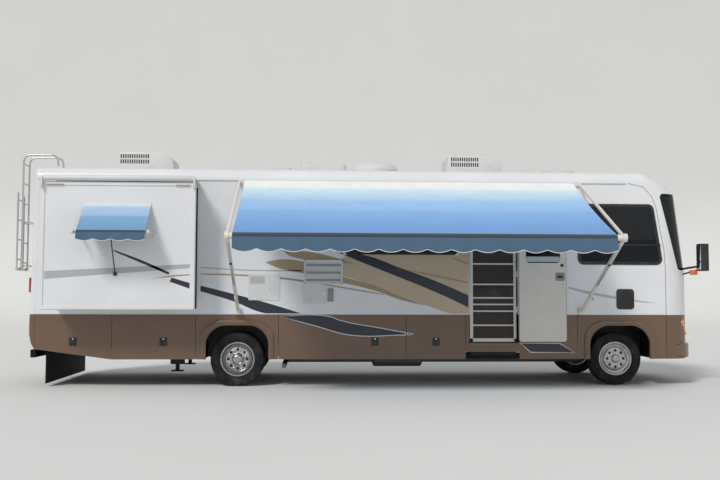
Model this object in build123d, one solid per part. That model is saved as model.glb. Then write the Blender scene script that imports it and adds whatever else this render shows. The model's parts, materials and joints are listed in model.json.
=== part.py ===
"""Motorhome with a rear slide-out room, open entry door, closed screen door and deployed awnings.

Lengths are millimetres. The vehicle is drawn with X = 0 midway between the axles, Y = 0 on its centre line
and Z = 0 on the ground. +X points forward, and the curb side, with the doors and the awning, is at -Y.
write_parts moves everything so that the part's origin lies under the middle of its overall box.
"""
from build123d import *
import os
from math import atan2, degrees, sqrt

# Running gear
WHEELBASE = 5791
TYRE_R = 405
RIM_R = 248
TYRE_W = 226
TWIN_SPACING = 262
FRONT_TYRE_SET_IN = 100
REAR_TYRE_SET_IN = 60
KINGPIN_SET_IN = 295
KINGPIN_R = 22
SPINDLE_R = 38
HUB_R = 105
BRAKE_R = 190
RIM_SET_IN = 14
BORE_DEPTH = 50
RUN_CLEAR = 5
RAIL_Y = 430
RAIL_W = 75
RAIL_H = 220
RAIL_TOP_Z = 820
RAIL_T = 10
FIT = 0.4
SEAT = 0.3

# Coach body
BODY_W = 2550
HALF_W = BODY_W / 2
REAR_OVERHANG = 3083
WALL_T = 50
PANEL_T = 25
CAP_T = 30
ROOF_T = 50
BELT_Z = 1078
SKIRT_Z = 408
GUTTER_Z = 3108
ROOF_EDGE_SET_IN = 185
ROOF_EDGE_Z = 3290
ROOF_Z = 3340
FLOOR_T = 70
SEAM = 0.5
REAR_CAP_DEPTH = 92
REAR_CORNER_R = 70
REAR_LEAN = 49

# Front cap
NOSE_CORNER_R = 400
NOSE_FRONT_R = 4000
NOSE_X = 3690
NOSE_SEAM_X = NOSE_X - 25
ROOF_SEAM_X = NOSE_X - 624
GLASS_LOW_Z = 1766
GLASS_HIGH_Z = 2955
GLASS_T = 8
GLASS_LEDGE = 12
SEAM_LEAN_Z = 1800
SEAM_BEND_Z = 2720
POST_W = 46

# Openings on the curb side
DOOR_X0 = 612
DOOR_X1 = 1360
DOOR_Z0 = 653
DOOR_Z1 = 2633
DOOR_T = 40
DOOR_GAP = 8
DOOR_HINGE_GAP = 6
DOOR_SET_IN = 18
DOOR_STAND_OFF = 7
DOOR_HINGE_R = 7
SCREEN_T = 20
SCREEN_SET_IN = 25
SCREEN_HINGE_R = 6
SCREEN_HINGE_SET_IN = 16
SLIDE_X0 = -5673
SLIDE_X1 = -3465
SLIDE_Z0 = 1153
SLIDE_Z1 = 2996
SLIDE_OUT = 551
SLIDE_DEPTH = 820
SLIDE_FLANGE_W = 75
SLIDE_FLANGE_T = 30
RIM_T = 14
SLIDE_WALL_T = 40
SLIDE_GAP = 15

# Wheel arches
ARCH_R = 466
ARCH_TOP_Z = 914
FLARE_W = 80
FLARE_T = 18

# Awning
AWNING_X0 = -2883
AWNING_X1 = 2330
AWNING_RAIL_Z = 3078
AWNING_OUT = 1991
ROLLER_Z = 2131
ROLLER_R = 42
HUB_PROUD = 14
ARM_FOOT_Z = 1135
ARM_W = 46
ARM_T = 30
CANOPY_T = 6
CANOPY_SAG = 45
VALANCE_DROP = 165

# Ladder
LADDER_X = -6165
LADDER_Y0 = -1065
LADDER_Y1 = -780
LADDER_TUBE_R = 14
LADDER_PIVOT_Z = 1736
LADDER_END_GAP = 12
LADDER_TOP_Z = 3490
LADDER_FOLD_X = -6235

# Mirrors and front bumper
MIRROR_REACH = 225
MIRROR_W = 190
MIRROR_X = NOSE_X + 397
BUMPER_PROUD = 45

REAR_AXLE_X = -WHEELBASE / 2
FRONT_AXLE_X = WHEELBASE / 2
FRONT_TYRE_OUTER_Y = HALF_W - FRONT_TYRE_SET_IN
REAR_TYRE_OUTER_Y = HALF_W - REAR_TYRE_SET_IN
KINGPIN_Y = FRONT_TYRE_OUTER_Y - KINGPIN_SET_IN
ROOF_EDGE_Y = HALF_W - ROOF_EDGE_SET_IN
MIRROR_Y = HALF_W + MIRROR_REACH
LAMP_IN_Y, LAMP_OUT_Y = HALF_W - 585, HALF_W - 195
LAMP_LOW_Z, LAMP_HIGH_Z = 740, 940
GRILLE_Y = HALF_W - 715
GRILLE_LOW_Z, GRILLE_HIGH_Z = 720, 960
FRONT_CORNER_R = 40
REAR_X = REAR_AXLE_X - REAR_OVERHANG
REAR_SEAM_X = REAR_X + REAR_CAP_DEPTH
OUTER_Y = -HALF_W
SLIDE_FACE_Y = OUTER_Y - SLIDE_OUT
DOOR_CLOSED_Y = OUTER_Y + DOOR_SET_IN - DOOR_T
DOOR_OPEN_Y = OUTER_Y - DOOR_STAND_OFF - DOOR_T
DOOR_HINGE_Y = (DOOR_CLOSED_Y + DOOR_OPEN_Y + DOOR_T) / 2
SCREEN_HINGE_X = DOOR_X1 - SCREEN_HINGE_SET_IN
SCREEN_HINGE_Y = OUTER_Y + SCREEN_SET_IN + 4
LADDER_PIVOT_X = (LADDER_X + LADDER_FOLD_X) / 2
AWNING_WALL_Y = OUTER_Y - 26
ROLLER_Y = OUTER_Y - AWNING_OUT
CURB, FAR = -1, 1

PARTS = {}


def keep(name, *shapes):
    """Store the solids of one named sub-part."""
    PARTS[name] = [solid for shape in shapes for solid in shape.solids()]


def block(x0, x1, y0, y1, z0, z1):
    """A box between two corners."""
    return Pos((x0 + x1) / 2, (y0 + y1) / 2, (z0 + z1) / 2) * Box(x1 - x0, y1 - y0, z1 - z0)


def side_prism(sketch, y0, y1):
    """Extrude a sketch drawn in X and Z across the vehicle, from y0 to y1."""
    return Pos(0, y1, 0) * extrude(Plane.XZ * sketch, amount=y1 - y0)


def end_prism(sketch, x0, x1):
    """Extrude a sketch drawn in Y and Z along the vehicle, from x0 to x1."""
    return Pos(x0, 0, 0) * extrude(Plane.YZ * sketch, amount=x1 - x0)


def polygon(*points, radius=0):
    """A closed outline with straight sides, its corners rounded when a radius is given."""
    face = make_face(Polyline(*points, close=True))
    return fillet(face.vertices(), radius) if radius else face


def rectangle(x0, x1, z0, z1, radius=0):
    """An upright rectangle in a drawing plane."""
    return polygon((x0, z0), (x1, z0), (x1, z1), (x0, z1), radius=radius)


def disc_y(x, z, radius, y0, y1):
    """A round bar across the vehicle."""
    return side_prism(Pos(x, z) * Circle(radius), y0, y1)


def bar_x(y, z, radius, x0, x1):
    """A round bar along the vehicle."""
    return end_prism(Pos(y, z) * Circle(radius), x0, x1)


def bar_z(x, y, radius, z0, z1):
    """An upright round bar."""
    return Pos(x, y, z0) * extrude(Circle(radius), amount=z1 - z0)


def rod(start, end, radius):
    """A round bar between two points."""
    along = Vector(*end) - Vector(*start)
    return extrude(Plane(origin=start, z_dir=along) * Circle(radius), amount=along.length)


def strut(start, end, width, thick):
    """A flat bar between two points in a plane square to X, its width along X."""
    along = Vector(*end) - Vector(*start)
    plane = Plane(origin=start, x_dir=(1, 0, 0), z_dir=along)
    return extrude(plane * Rectangle(width, thick), amount=along.length)


def mirrored(shape):
    """The same shape on the other side of the vehicle."""
    return mirror(shape, about=Plane.XZ)


def on_side(side, shape):
    """A shape drawn for the curb side, mirrored when it belongs on the far side."""
    return shape if side == CURB else mirrored(shape)


# Body outline

def roof_section(inset, low_z=0, wide=0):
    """The coach's cross section in Y and Z above low_z, inset by a thickness, wider below the gutter on request."""
    half = HALF_W - inset
    edge_y, edge_z = ROOF_EDGE_Y - inset * 0.7, ROOF_EDGE_Z - inset
    top = ROOF_Z - inset
    bulge = 38
    mid_y, mid_z = (half + edge_y) / 2 + bulge, (GUTTER_Z + edge_z) / 2 + bulge
    lines = Curve() + [
        Line((-half - wide, low_z), (half + wide, low_z)),
        Line((half + wide, low_z), (half + wide, GUTTER_Z)),
        ThreePointArc((half, GUTTER_Z), (mid_y, mid_z), (edge_y, edge_z)),
        ThreePointArc((edge_y, edge_z), (0, top), (-edge_y, edge_z)),
        ThreePointArc((-edge_y, edge_z), (-mid_y, mid_z), (-half, GUTTER_Z)),
        Line((-half - wide, GUTTER_Z), (-half - wide, low_z)),
    ]
    if wide:
        lines += [Line((half + wide, GUTTER_Z), (half, GUTTER_Z)), Line((-half, GUTTER_Z), (-half - wide, GUTTER_Z))]
    return make_face(lines)


def seam_outline(back_x, gap=0.0):
    """The side wall's outline ahead of back_x, whose front edge is the front cap's seam."""
    seam_x = NOSE_SEAM_X - gap
    bend = (NOSE_X - 200 - gap, SEAM_BEND_Z)
    lines = Curve() + [
        Line((back_x, BELT_Z), (seam_x, BELT_Z)),
        Line((seam_x, BELT_Z), (seam_x, SEAM_LEAN_Z)),
        Line((seam_x, SEAM_LEAN_Z), bend),
        TangentArc((ROOF_SEAM_X - gap, GUTTER_Z), bend, tangent=(1, 0)),
        Line((ROOF_SEAM_X - gap, GUTTER_Z), (back_x, GUTTER_Z)),
        Line((back_x, GUTTER_Z), (back_x, BELT_Z)),
    ]
    return make_face(lines)


def nose_plan(z, corner_x, inset):
    """The front cap's plan at one height: straight sides, two corner arcs and a broad front arc."""
    half, corner, front = HALF_W - inset, NOSE_CORNER_R - inset, NOSE_FRONT_R - inset
    corner_y = HALF_W - NOSE_CORNER_R
    reach = sqrt((front - corner) ** 2 - corner_y ** 2)
    front_centre_x = corner_x - reach
    unit_x, unit_y = reach / (front - corner), corner_y / (front - corner)
    half_x, half_y = sqrt(1 - (1 + unit_y) / 2), sqrt((1 + unit_y) / 2)
    tangent = (corner_x + corner * unit_x, corner_y + corner * unit_y)
    middle = (corner_x + corner * half_x, corner_y + corner * half_y)
    back_x = 2000

    def at(x, y):
        return (x, y, z)

    edges = [
        Line(at(back_x, -half), at(corner_x, -half)),
        ThreePointArc(at(corner_x, -half), at(middle[0], -middle[1]), at(tangent[0], -tangent[1])),
        ThreePointArc(at(tangent[0], -tangent[1]), at(front_centre_x + front, 0), at(*tangent)),
        ThreePointArc(at(*tangent), at(*middle), at(corner_x, half)),
        Line(at(corner_x, half), at(back_x, half)),
        Line(at(back_x, half), at(back_x, -half)),
    ]
    return make_face(Wire(edges))


# Height and corner centre of the sections above the windshield.
BROW_SECTIONS = [
    (2961, NOSE_X - 169), (3072, NOSE_X - 259), (3167, NOSE_X - 388), (3266, NOSE_X - 613), (3350, NOSE_X - 1090),
]


def nose_low(inset):
    """The front cap below the windshield, upright, as a solid."""
    return extrude(nose_plan(SKIRT_Z, NOSE_X, inset), amount=GLASS_LOW_Z - SKIRT_Z)


def nose_below_brow(inset):
    """The front cap below the windshield's top: upright at first, then leaning back with the glass."""
    brow_z, brow_x = BROW_SECTIONS[0]
    lean = degrees(atan2(NOSE_X - brow_x - 2 * GLASS_LEDGE, brow_z - GLASS_LOW_Z))
    leaning = Pos(-NOSE_X, 0, -500) * extrude(nose_plan(0, NOSE_X, inset), amount=2300)
    leaning = Pos(NOSE_X - GLASS_LEDGE, 0, GLASS_LOW_Z) * (Rot(0, -lean, 0) * leaning)
    return nose_low(inset) + (leaning & block(1000, 5000, -2000, 2000, GLASS_LOW_Z, brow_z))


def nose_body(inset):
    """The whole front cap as a solid, inset by a wall thickness."""
    brow = [nose_plan(z - (inset if n else 0), x, inset) for n, (z, x) in enumerate(BROW_SECTIONS)]
    return nose_below_brow(inset) + (loft(brow, ruled=True) & end_prism(roof_section(inset), 1000, 4500))


def window_sketch(x0, x1_low, x1_high, z0, z1, radius, grow=0.0):
    """A side window's outline: its front edge may slant."""
    face = polygon((x0, z0), (x1_low, z0), (x1_high, z1), (x0, z1), radius=radius)
    return offset(face, amount=grow) if grow else face


# Side, rear edge, front edge low, front edge high, sill, head, corner radius.
WINDOWS = [
    (CURB, 2317, NOSE_X - 90, NOSE_X - 228, 1870, 2762, 70),
    (CURB, -1285, 425, 425, 2010, 2640, 60),
    (FAR, 2317, NOSE_X - 90, NOSE_X - 228, 1870, 2762, 70),
    (FAR, -1285, 425, 425, 2010, 2640, 60),
    (FAR, -5057, -4101, -4101, 2141, 2640, 60),
]
FRAME_LIP = 24
FRAME_PROUD = 9
PANE_T = 6
PANE_FIT = 2


GLASS_EDGE_LOW = (NOSE_X + 197, 1761)
GLASS_EDGE_HIGH = (NOSE_X - 106, 2932)


def windshield_zone(grow=0.0):
    """The windshield's outline seen from the side, open towards the front."""
    edge_x, edge_z = GLASS_EDGE_HIGH
    lean = (GLASS_EDGE_LOW[0] - edge_x) / (edge_z - GLASS_EDGE_LOW[1])
    low_x = edge_x + lean * (edge_z - GLASS_LOW_Z)
    high_x = edge_x - lean * (GLASS_HIGH_Z - edge_z)
    ahead = NOSE_X + 900
    face = polygon((low_x, GLASS_LOW_Z), (ahead, GLASS_LOW_Z), (ahead, GLASS_HIGH_Z), (high_x, GLASS_HIGH_Z))
    edge = face.vertices().sort_by(Axis.X)[:2]
    return offset(fillet(edge, 60), amount=grow) if grow else fillet(edge, 60)


def arch_cutter(axle_x, y0, y1, grow=0.0):
    """The wheel opening: a flattened arch down through the skirt's bottom edge."""
    radius = ARCH_R + grow
    top = ARCH_TOP_Z + grow
    shoulder = top - 260
    lines = Curve() + [
        Line((axle_x - radius, SKIRT_Z - 200), (axle_x + radius, SKIRT_Z - 200)),
        Line((axle_x + radius, SKIRT_Z - 200), (axle_x + radius, shoulder)),
        ThreePointArc((axle_x + radius, shoulder), (axle_x + radius * 0.78, top - 75), (axle_x + 170, top)),
        Line((axle_x + 170, top), (axle_x - 170, top)),
        ThreePointArc((axle_x - 170, top), (axle_x - radius * 0.78, top - 75), (axle_x - radius, shoulder)),
        Line((axle_x - radius, shoulder), (axle_x - radius, SKIRT_Z - 200)),
    ]
    return side_prism(make_face(lines), y0, y1)


FRONT_ARCH_X = FRONT_AXLE_X + 36
ARCHES = [REAR_AXLE_X, FRONT_ARCH_X]


# Lower ends of the hinges on the entry door and the screen door, and their length.
DOOR_HINGES = [1150, 1720, 2380]
SCREEN_HINGES = [1110, 1660, 2420]
HINGE_H = 90


def make_walls():
    outline = seam_outline(REAR_SEAM_X + SEAM, SEAM)
    for side, name in ((CURB, "curb_wall"), (FAR, "far_wall")):
        wall = side_prism(outline, -HALF_W, -HALF_W + WALL_T)
        for owner, *window in WINDOWS:
            if owner == side:
                wall -= side_prism(window_sketch(*window), -HALF_W - 5, -HALF_W + WALL_T + 5)
        if side == CURB:
            wall -= block(DOOR_X0, DOOR_X1, -HALF_W - 5, -HALF_W + WALL_T + 5, BELT_Z - 5, DOOR_Z1)
            wall -= block(
                SLIDE_X0 + SLIDE_FLANGE_W - SLIDE_GAP, SLIDE_X1 - SLIDE_FLANGE_W + SLIDE_GAP,
                -HALF_W - 5, -HALF_W + WALL_T + 5,
                SLIDE_Z0 + SLIDE_FLANGE_W - SLIDE_GAP, SLIDE_Z1 - SLIDE_FLANGE_W + SLIDE_GAP,
            )
            leaf_y = DOOR_HINGE_Y + DOOR_HINGE_R + SEAT
            for z in DOOR_HINGES:
                wall += block(DOOR_X1 - 3, DOOR_X1 + 3, leaf_y, OUTER_Y + 2, z, z + HINGE_H)
            for z in SCREEN_HINGES:
                wall += block(
                    SCREEN_HINGE_X + SCREEN_HINGE_R + SEAT, DOOR_X1, SCREEN_HINGE_Y - 6, SCREEN_HINGE_Y + 6,
                    z, z + HINGE_H,
                )
        keep(name, on_side(side, wall))


def make_windows():
    frames, panes = [], []
    for side, *window in WINDOWS:
        ring = window_sketch(*window, grow=FRAME_LIP) - window_sketch(*window, grow=-FRAME_LIP)
        frames.append(on_side(side, side_prism(ring, -HALF_W - FRAME_PROUD, -HALF_W)))
        pane = window_sketch(*window, grow=-PANE_FIT)
        panes.append(on_side(side, side_prism(pane, -HALF_W, -HALF_W + PANE_T)))
    keep("window_frames", *frames)
    keep("window_panes", *panes)


def make_roof():
    length = (REAR_SEAM_X + SEAM, ROOF_SEAM_X - SEAM)
    shell = end_prism(roof_section(0), *length) - end_prism(roof_section(ROOF_T), *length)
    keep("roof", shell & block(*length, -HALF_W, HALF_W, GUTTER_Z, ROOF_Z + 10))


def make_front_cap():
    shell = nose_body(0) - nose_body(CAP_T)
    behind = side_prism(seam_outline(1500), -2000, 2000)
    behind += block(1500, ROOF_SEAM_X, -2000, 2000, GUTTER_Z - 1, 3600)
    behind += block(1500, NOSE_SEAM_X, -2000, 2000, 0, BELT_Z + 1)
    shell -= behind
    glass_zone = side_prism(windshield_zone(), -2000, 2000)
    thin = nose_below_brow(0) - nose_below_brow(GLASS_T)
    half = block(3000, 5000, -2000, -POST_W / 2 - 2, 1000, 3500)
    glass = thin & (side_prism(windshield_zone(-FIT), -2000, 2000) & half)
    post = (nose_body(0) - nose_body(CAP_T)) & block(3000, 5000, -POST_W / 2, POST_W / 2, 1500, 3200)
    shell = shell - glass_zone
    post = post & glass_zone
    for x, y0, y1, z0, z1, radius in FRONT_CUTS:
        shell -= end_prism(rectangle(y0, y1, z0, z1, radius=radius), x, 5000)
    keep("front_cap", shell + post)
    keep("windshield", glass, mirrored(glass))


# Start in X, Y limits, Z limits and corner radius of each cut through the nose.
FRONT_CUTS = [
    (NOSE_X + 210, -GRILLE_Y, GRILLE_Y, GRILLE_LOW_Z, GRILLE_HIGH_Z, FRONT_CORNER_R),
    (NOSE_X + 110, -LAMP_OUT_Y, -LAMP_IN_Y, LAMP_LOW_Z, LAMP_HIGH_Z, FRONT_CORNER_R),
    (NOSE_X + 110, LAMP_IN_Y, LAMP_OUT_Y, LAMP_LOW_Z, LAMP_HIGH_Z, FRONT_CORNER_R),
]


def rear_body(inset):
    """The coach's tail as a solid, inset by a wall thickness: leaning, tucked under at the bottom."""
    plan = Pos((REAR_X + inset) / 2, 0) * Rectangle(abs(REAR_X + inset), 2 * (HALF_W - inset))
    plan = fillet(plan.vertices().sort_by(Axis.X)[:2], REAR_CORNER_R - inset)
    lean = degrees(atan2(REAR_LEAN, ROOF_EDGE_Z - BELT_Z))
    upright = Pos(-REAR_X, 0, -1000) * extrude(plan, amount=4000)
    solid = Pos(REAR_X, 0, BELT_Z) * (Rot(0, lean, 0) * upright)
    brow_x, brow_z = REAR_X + REAR_LEAN + inset, ROOF_EDGE_Z - 70
    end_x, tail_x = REAR_SEAM_X + 5, REAR_X + inset
    side_view = polygon(
        (end_x, 560 + inset), (tail_x + 48, 640 + inset), (tail_x + 8, 790), (tail_x - 20, BELT_Z),
        (brow_x - 20, brow_z), (brow_x + 8, brow_z + 70), (end_x, ROOF_Z - inset + 15),
    )
    solid &= side_prism(side_view, -HALF_W - 50, HALF_W + 50)
    return solid & end_prism(roof_section(inset, wide=50), REAR_X - 100, REAR_SEAM_X)


def make_rear_cap():
    keep("rear_cap", rear_body(0) - rear_body(CAP_T))


# Rear edge and front edge of each compartment, and whether the far side has it too.
BAYS = [
    ("a", REAR_SEAM_X, -4754, False),
    ("b", -4754, -3517, True),
    ("c", -2281, -353, True),
    ("d", -353, 553, False),
]
BAY_GAP = 3
BAY_TOP_Z = BELT_Z - SEAT


def skirt_low(x):
    """Height of the skirt's bottom edge, which rises towards the rear."""
    if x >= -4754:
        return SKIRT_Z
    return SKIRT_Z + (x + 4754) / (REAR_SEAM_X + 4754) * 155


def skirt_panel(x0, x1, high):
    """A flat skirt panel between two seams, its bottom following the skirt's edge."""
    shape = polygon((x0, skirt_low(x0)), (x1, skirt_low(x1)), (x1, high), (x0, high))
    return side_prism(shape, -HALF_W, -HALF_W + PANEL_T)


def make_skirts():
    fixed = [(-3517, -2281), (553, 2275), (2275, NOSE_SEAM_X - SEAM)]
    sides = []
    for side in (CURB, FAR):
        plain = [(x0, x1) for _, x0, x1, both in BAYS if side == FAR and not both]
        panels = []
        for x0, x1 in fixed + plain:
            low_gap = BAY_GAP if x0 > REAR_SEAM_X else SEAM
            panel = skirt_panel(x0 + low_gap, x1 - (BAY_GAP if x1 < NOSE_SEAM_X - 1 else 0), BELT_Z)
            if side == CURB:
                panel -= block(
                    DOOR_X0 - DOOR_GAP, DOOR_X1 + DOOR_GAP, -HALF_W - 5, -HALF_W + PANEL_T + 5, DOOR_Z0, BELT_Z + 5
                )
                panel -= block(DOOR_X0 - 60, DOOR_X1 + 20, -HALF_W - 5, -HALF_W + PANEL_T + 5, 0, STEP_OPENING_Z)
            panels.append(panel)
        shape = panels[0]
        for panel in panels[1:]:
            shape += panel
        for axle_x in ARCHES:
            flare = arch_cutter(axle_x, -HALF_W - FLARE_T, -HALF_W + PANEL_T, FLARE_W)
            flare &= block(axle_x - 700, axle_x + 700, -HALF_W - FLARE_T, -HALF_W + PANEL_T, SKIRT_Z, BELT_Z - 2)
            shape = shape + flare
            shape -= arch_cutter(axle_x, -HALF_W - FLARE_T - 5, -HALF_W + PANEL_T + 5)
        sides.append(on_side(side, shape))
    keep("skirts", *sides)


def make_bay_doors():
    for label, x0, x1, both in BAYS:
        for side, name in ((CURB, "curb"), (FAR, "far")):
            if side == FAR and not both:
                continue
            start = x0 + (SEAM + BAY_GAP if x0 == REAR_SEAM_X else BAY_GAP)
            door = skirt_panel(start, x1 - BAY_GAP, BAY_TOP_Z)
            middle = (x0 + x1) / 2 if x1 - x0 < 1500 else x1 - 474
            latch = block(middle - 58, middle + 58, -HALF_W - 5, -HALF_W, 605, 735)
            latch -= block(middle - 40, middle + 40, -HALF_W - 6, -HALF_W - 2, 625, 690)
            keep(f"{name}_bay_door_{label}", on_side(side, door + latch))


def make_bays():
    """Open-fronted storage boxes behind the compartment doors."""
    sheet = 12
    inner_y, front_y = -RAIL_Y - RAIL_W - 20, -HALF_W + PANEL_T + 8
    top_z = BELT_Z - FLOOR_T
    boxes = []
    for _, x0, x1, both in BAYS:
        for side in (CURB, FAR):
            if side == FAR and not both:
                continue
            low_z = max(skirt_low(x0), skirt_low(x1)) + 20
            ends = (x0 + 45, x1 - 25)
            box = block(*ends, front_y, inner_y, low_z, top_z)
            box -= block(ends[0] + sheet, ends[1] - sheet, front_y - 1, inner_y - sheet, low_z + sheet, top_z + 1)
            boxes.append(on_side(side, box))
    keep("storage_bays", *boxes)


STEP_INSET = 25
STEP_START = 30
STEP_DEPTH = 300
STEP_HOUSING_DEPTH = 455
WELL_DEPTH = 515
WELL_RISER_IN = 275
STEP_LOW_Z = 472
STEP_TOP_Z = 504
STEP_OPENING_Z = 514


def make_floor():
    low, high = BELT_Z - FLOOR_T, BELT_Z
    edge = HALF_W - PANEL_T - 6
    floor = block(REAR_SEAM_X + SEAM, NOSE_SEAM_X - 40, -edge, edge, low, high)
    well_y0, well_y1 = -edge - 1, OUTER_Y + WELL_DEPTH
    riser_y = OUTER_Y + WELL_RISER_IN
    floor -= block(DOOR_X0 - 30, DOOR_X1 + 30, well_y0, well_y1, low - 5, high + 5)
    sheet = 15
    well = block(DOOR_X0 - 30, DOOR_X1 + 30, -HALF_W + WALL_T + 2, well_y1, DOOR_Z0 - sheet, low + 10)
    well -= block(DOOR_X0 - 30 + sheet, DOOR_X1 + 30 - sheet, -2000, well_y1 - sheet, DOOR_Z0, high + 20)
    tread = block(DOOR_X0 - 30 + sheet, DOOR_X1 + 30 - sheet, riser_y, well_y1 - sheet, 840, 865)
    riser = block(DOOR_X0 - 30 + sheet, DOOR_X1 + 30 - sheet, riser_y, riser_y + sheet, DOOR_Z0, 840)
    housing_y, back_y = OUTER_Y + PANEL_T + 2, OUTER_Y + STEP_HOUSING_DEPTH
    step_x0, step_x1 = DOOR_X0 + STEP_INSET, DOOR_X1 - STEP_INSET
    housing = block(step_x0, step_x0 + 12, housing_y, back_y, STEP_LOW_Z, DOOR_Z0 - sheet)
    housing += block(step_x1 - 12, step_x1, housing_y, back_y, STEP_LOW_Z, DOOR_Z0 - sheet)
    housing += block(step_x0, step_x1, back_y - 20, back_y, STEP_LOW_Z, DOOR_Z0 - sheet)
    rails = None
    for x in (SLIDE_X0 + 450, SLIDE_X1 - 450):
        rail = block(x - 30, x + 30, -HALF_W + WALL_T + 2, -500, high - 1, SLIDE_Z0 + SLIDE_FLANGE_W - SEAT)
        rails = rail if rails is None else rails + rail
    keep("floor", floor + rails + well + tread + riser + housing)


# Slide-out room

def make_slide():
    x0, x1, z0, z1 = SLIDE_X0, SLIDE_X1, SLIDE_Z0, SLIDE_Z1
    inset = SLIDE_FLANGE_W
    back_y = SLIDE_FACE_Y + SLIDE_DEPTH
    room = block(x0 + inset, x1 - inset, SLIDE_FACE_Y, back_y, z0 + inset, z1 - inset)
    inner = SLIDE_WALL_T
    room -= block(
        x0 + inset + inner, x1 - inset - inner, SLIDE_FACE_Y + inner, back_y + 1, z0 + inset + inner, z1 - inset - inner
    )
    flange = side_prism(rectangle(x0, x1, z0, z1, radius=35), SLIDE_FACE_Y, SLIDE_FACE_Y + SLIDE_FLANGE_T)
    flange -= side_prism(rectangle(x0 + inset, x1 - inset, z0 + inset, z1 - inset), -3000, 0)
    rim = side_prism(
        rectangle(x0, x1, z0, z1, radius=35) - rectangle(x0 + 62, x1 - 62, z0 + 62, z1 - 62),
        SLIDE_FACE_Y - RIM_T, SLIDE_FACE_Y,
    )
    rim = chamfer(rim.faces().sort_by(Axis.Y)[0].edges(), 11)
    window = SLIDE_WINDOW
    room = room + flange + rim
    room -= side_prism(window_sketch(*window), SLIDE_FACE_Y - 5, SLIDE_FACE_Y + inner + 5)
    ring = window_sketch(*window, grow=FRAME_LIP) - window_sketch(*window, grow=-FRAME_LIP)
    room += side_prism(ring, SLIDE_FACE_Y - FRAME_PROUD, SLIDE_FACE_Y)
    keep("slide_room", room)
    keep("slide_window_pane", side_prism(window_sketch(*window, grow=-PANE_FIT), SLIDE_FACE_Y, SLIDE_FACE_Y + PANE_T))


SLIDE_WINDOW = (-4912, -4214, -4214, 2141, 2620, 50)
SHADE_X0, SHADE_X1 = -5090, -4070
SHADE_TOP_Z = 2668
SHADE_OUT = 440
SHADE_ROLLER_Z = 2240
SHADE_ROLLER_R = 24
TOPPER_R = 42
TOPPER_Z = 3046


def make_slide_awnings():
    """The slide-out's own window awning and the roller tube of its topper."""
    face = SLIDE_FACE_Y
    roller_y = face - SHADE_OUT
    pieces = [bar_x(roller_y, SHADE_ROLLER_Z, SHADE_ROLLER_R, SHADE_X0, SHADE_X1)]
    pieces[0] += block(SHADE_X0 + 30, SHADE_X1 - 30, face - 12, face, SHADE_TOP_Z - 8, SHADE_TOP_Z + 14)
    for x in (SHADE_X0 - 12, SHADE_X1 + 12):
        pieces[0] += strut((x, face - 8, 1990), (x, roller_y, SHADE_ROLLER_Z), 24, 20)
        pieces[0] += block(x - 20, x + 20, face - 16, face, 1950, 2030)
        pieces[0] += end_casting(x, roller_y, SHADE_ROLLER_Z)
    sheet_top = (face - 12 - SEAT, SHADE_TOP_Z)
    sheet_low = (roller_y, SHADE_ROLLER_Z + SHADE_ROLLER_R + SEAT)
    outline = polygon(
        sheet_top, (sheet_top[0], sheet_top[1] + 5), (sheet_low[0], sheet_low[1] + 5), sheet_low,
    )
    keep("window_awning_canopy", end_prism(outline, SHADE_X0 + 35, SHADE_X1 - 35))
    tube = bar_x(face - 20, TOPPER_Z, TOPPER_R, SLIDE_X0 + 22, SLIDE_X1 - 22)
    for x in (SLIDE_X0 + 5, SLIDE_X1 - 35):
        bracket = block(x, x + 30, face - 72, face - RIM_T, 2900, TOPPER_Z + 20)
        tube += bracket
    keep("slide_awning_arms", *pieces, tube)
    rail_y, rail_z = OUTER_Y - 8, GUTTER_Z - 22
    tube_y, tube_z = face - 20, TOPPER_Z + TOPPER_R + SEAT
    sheet = polygon((rail_y, rail_z), (rail_y, rail_z + 4), (tube_y, tube_z + 4), (tube_y, tube_z))
    keep("topper_sheet", end_prism(sheet, SLIDE_X0 + 45, SLIDE_X1 - 45))


def end_casting(x, y, z):
    """The round casting where an arm holds a roller."""
    return bar_x(y, z, 34, x - 12, x + 12)


# Doors

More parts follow.
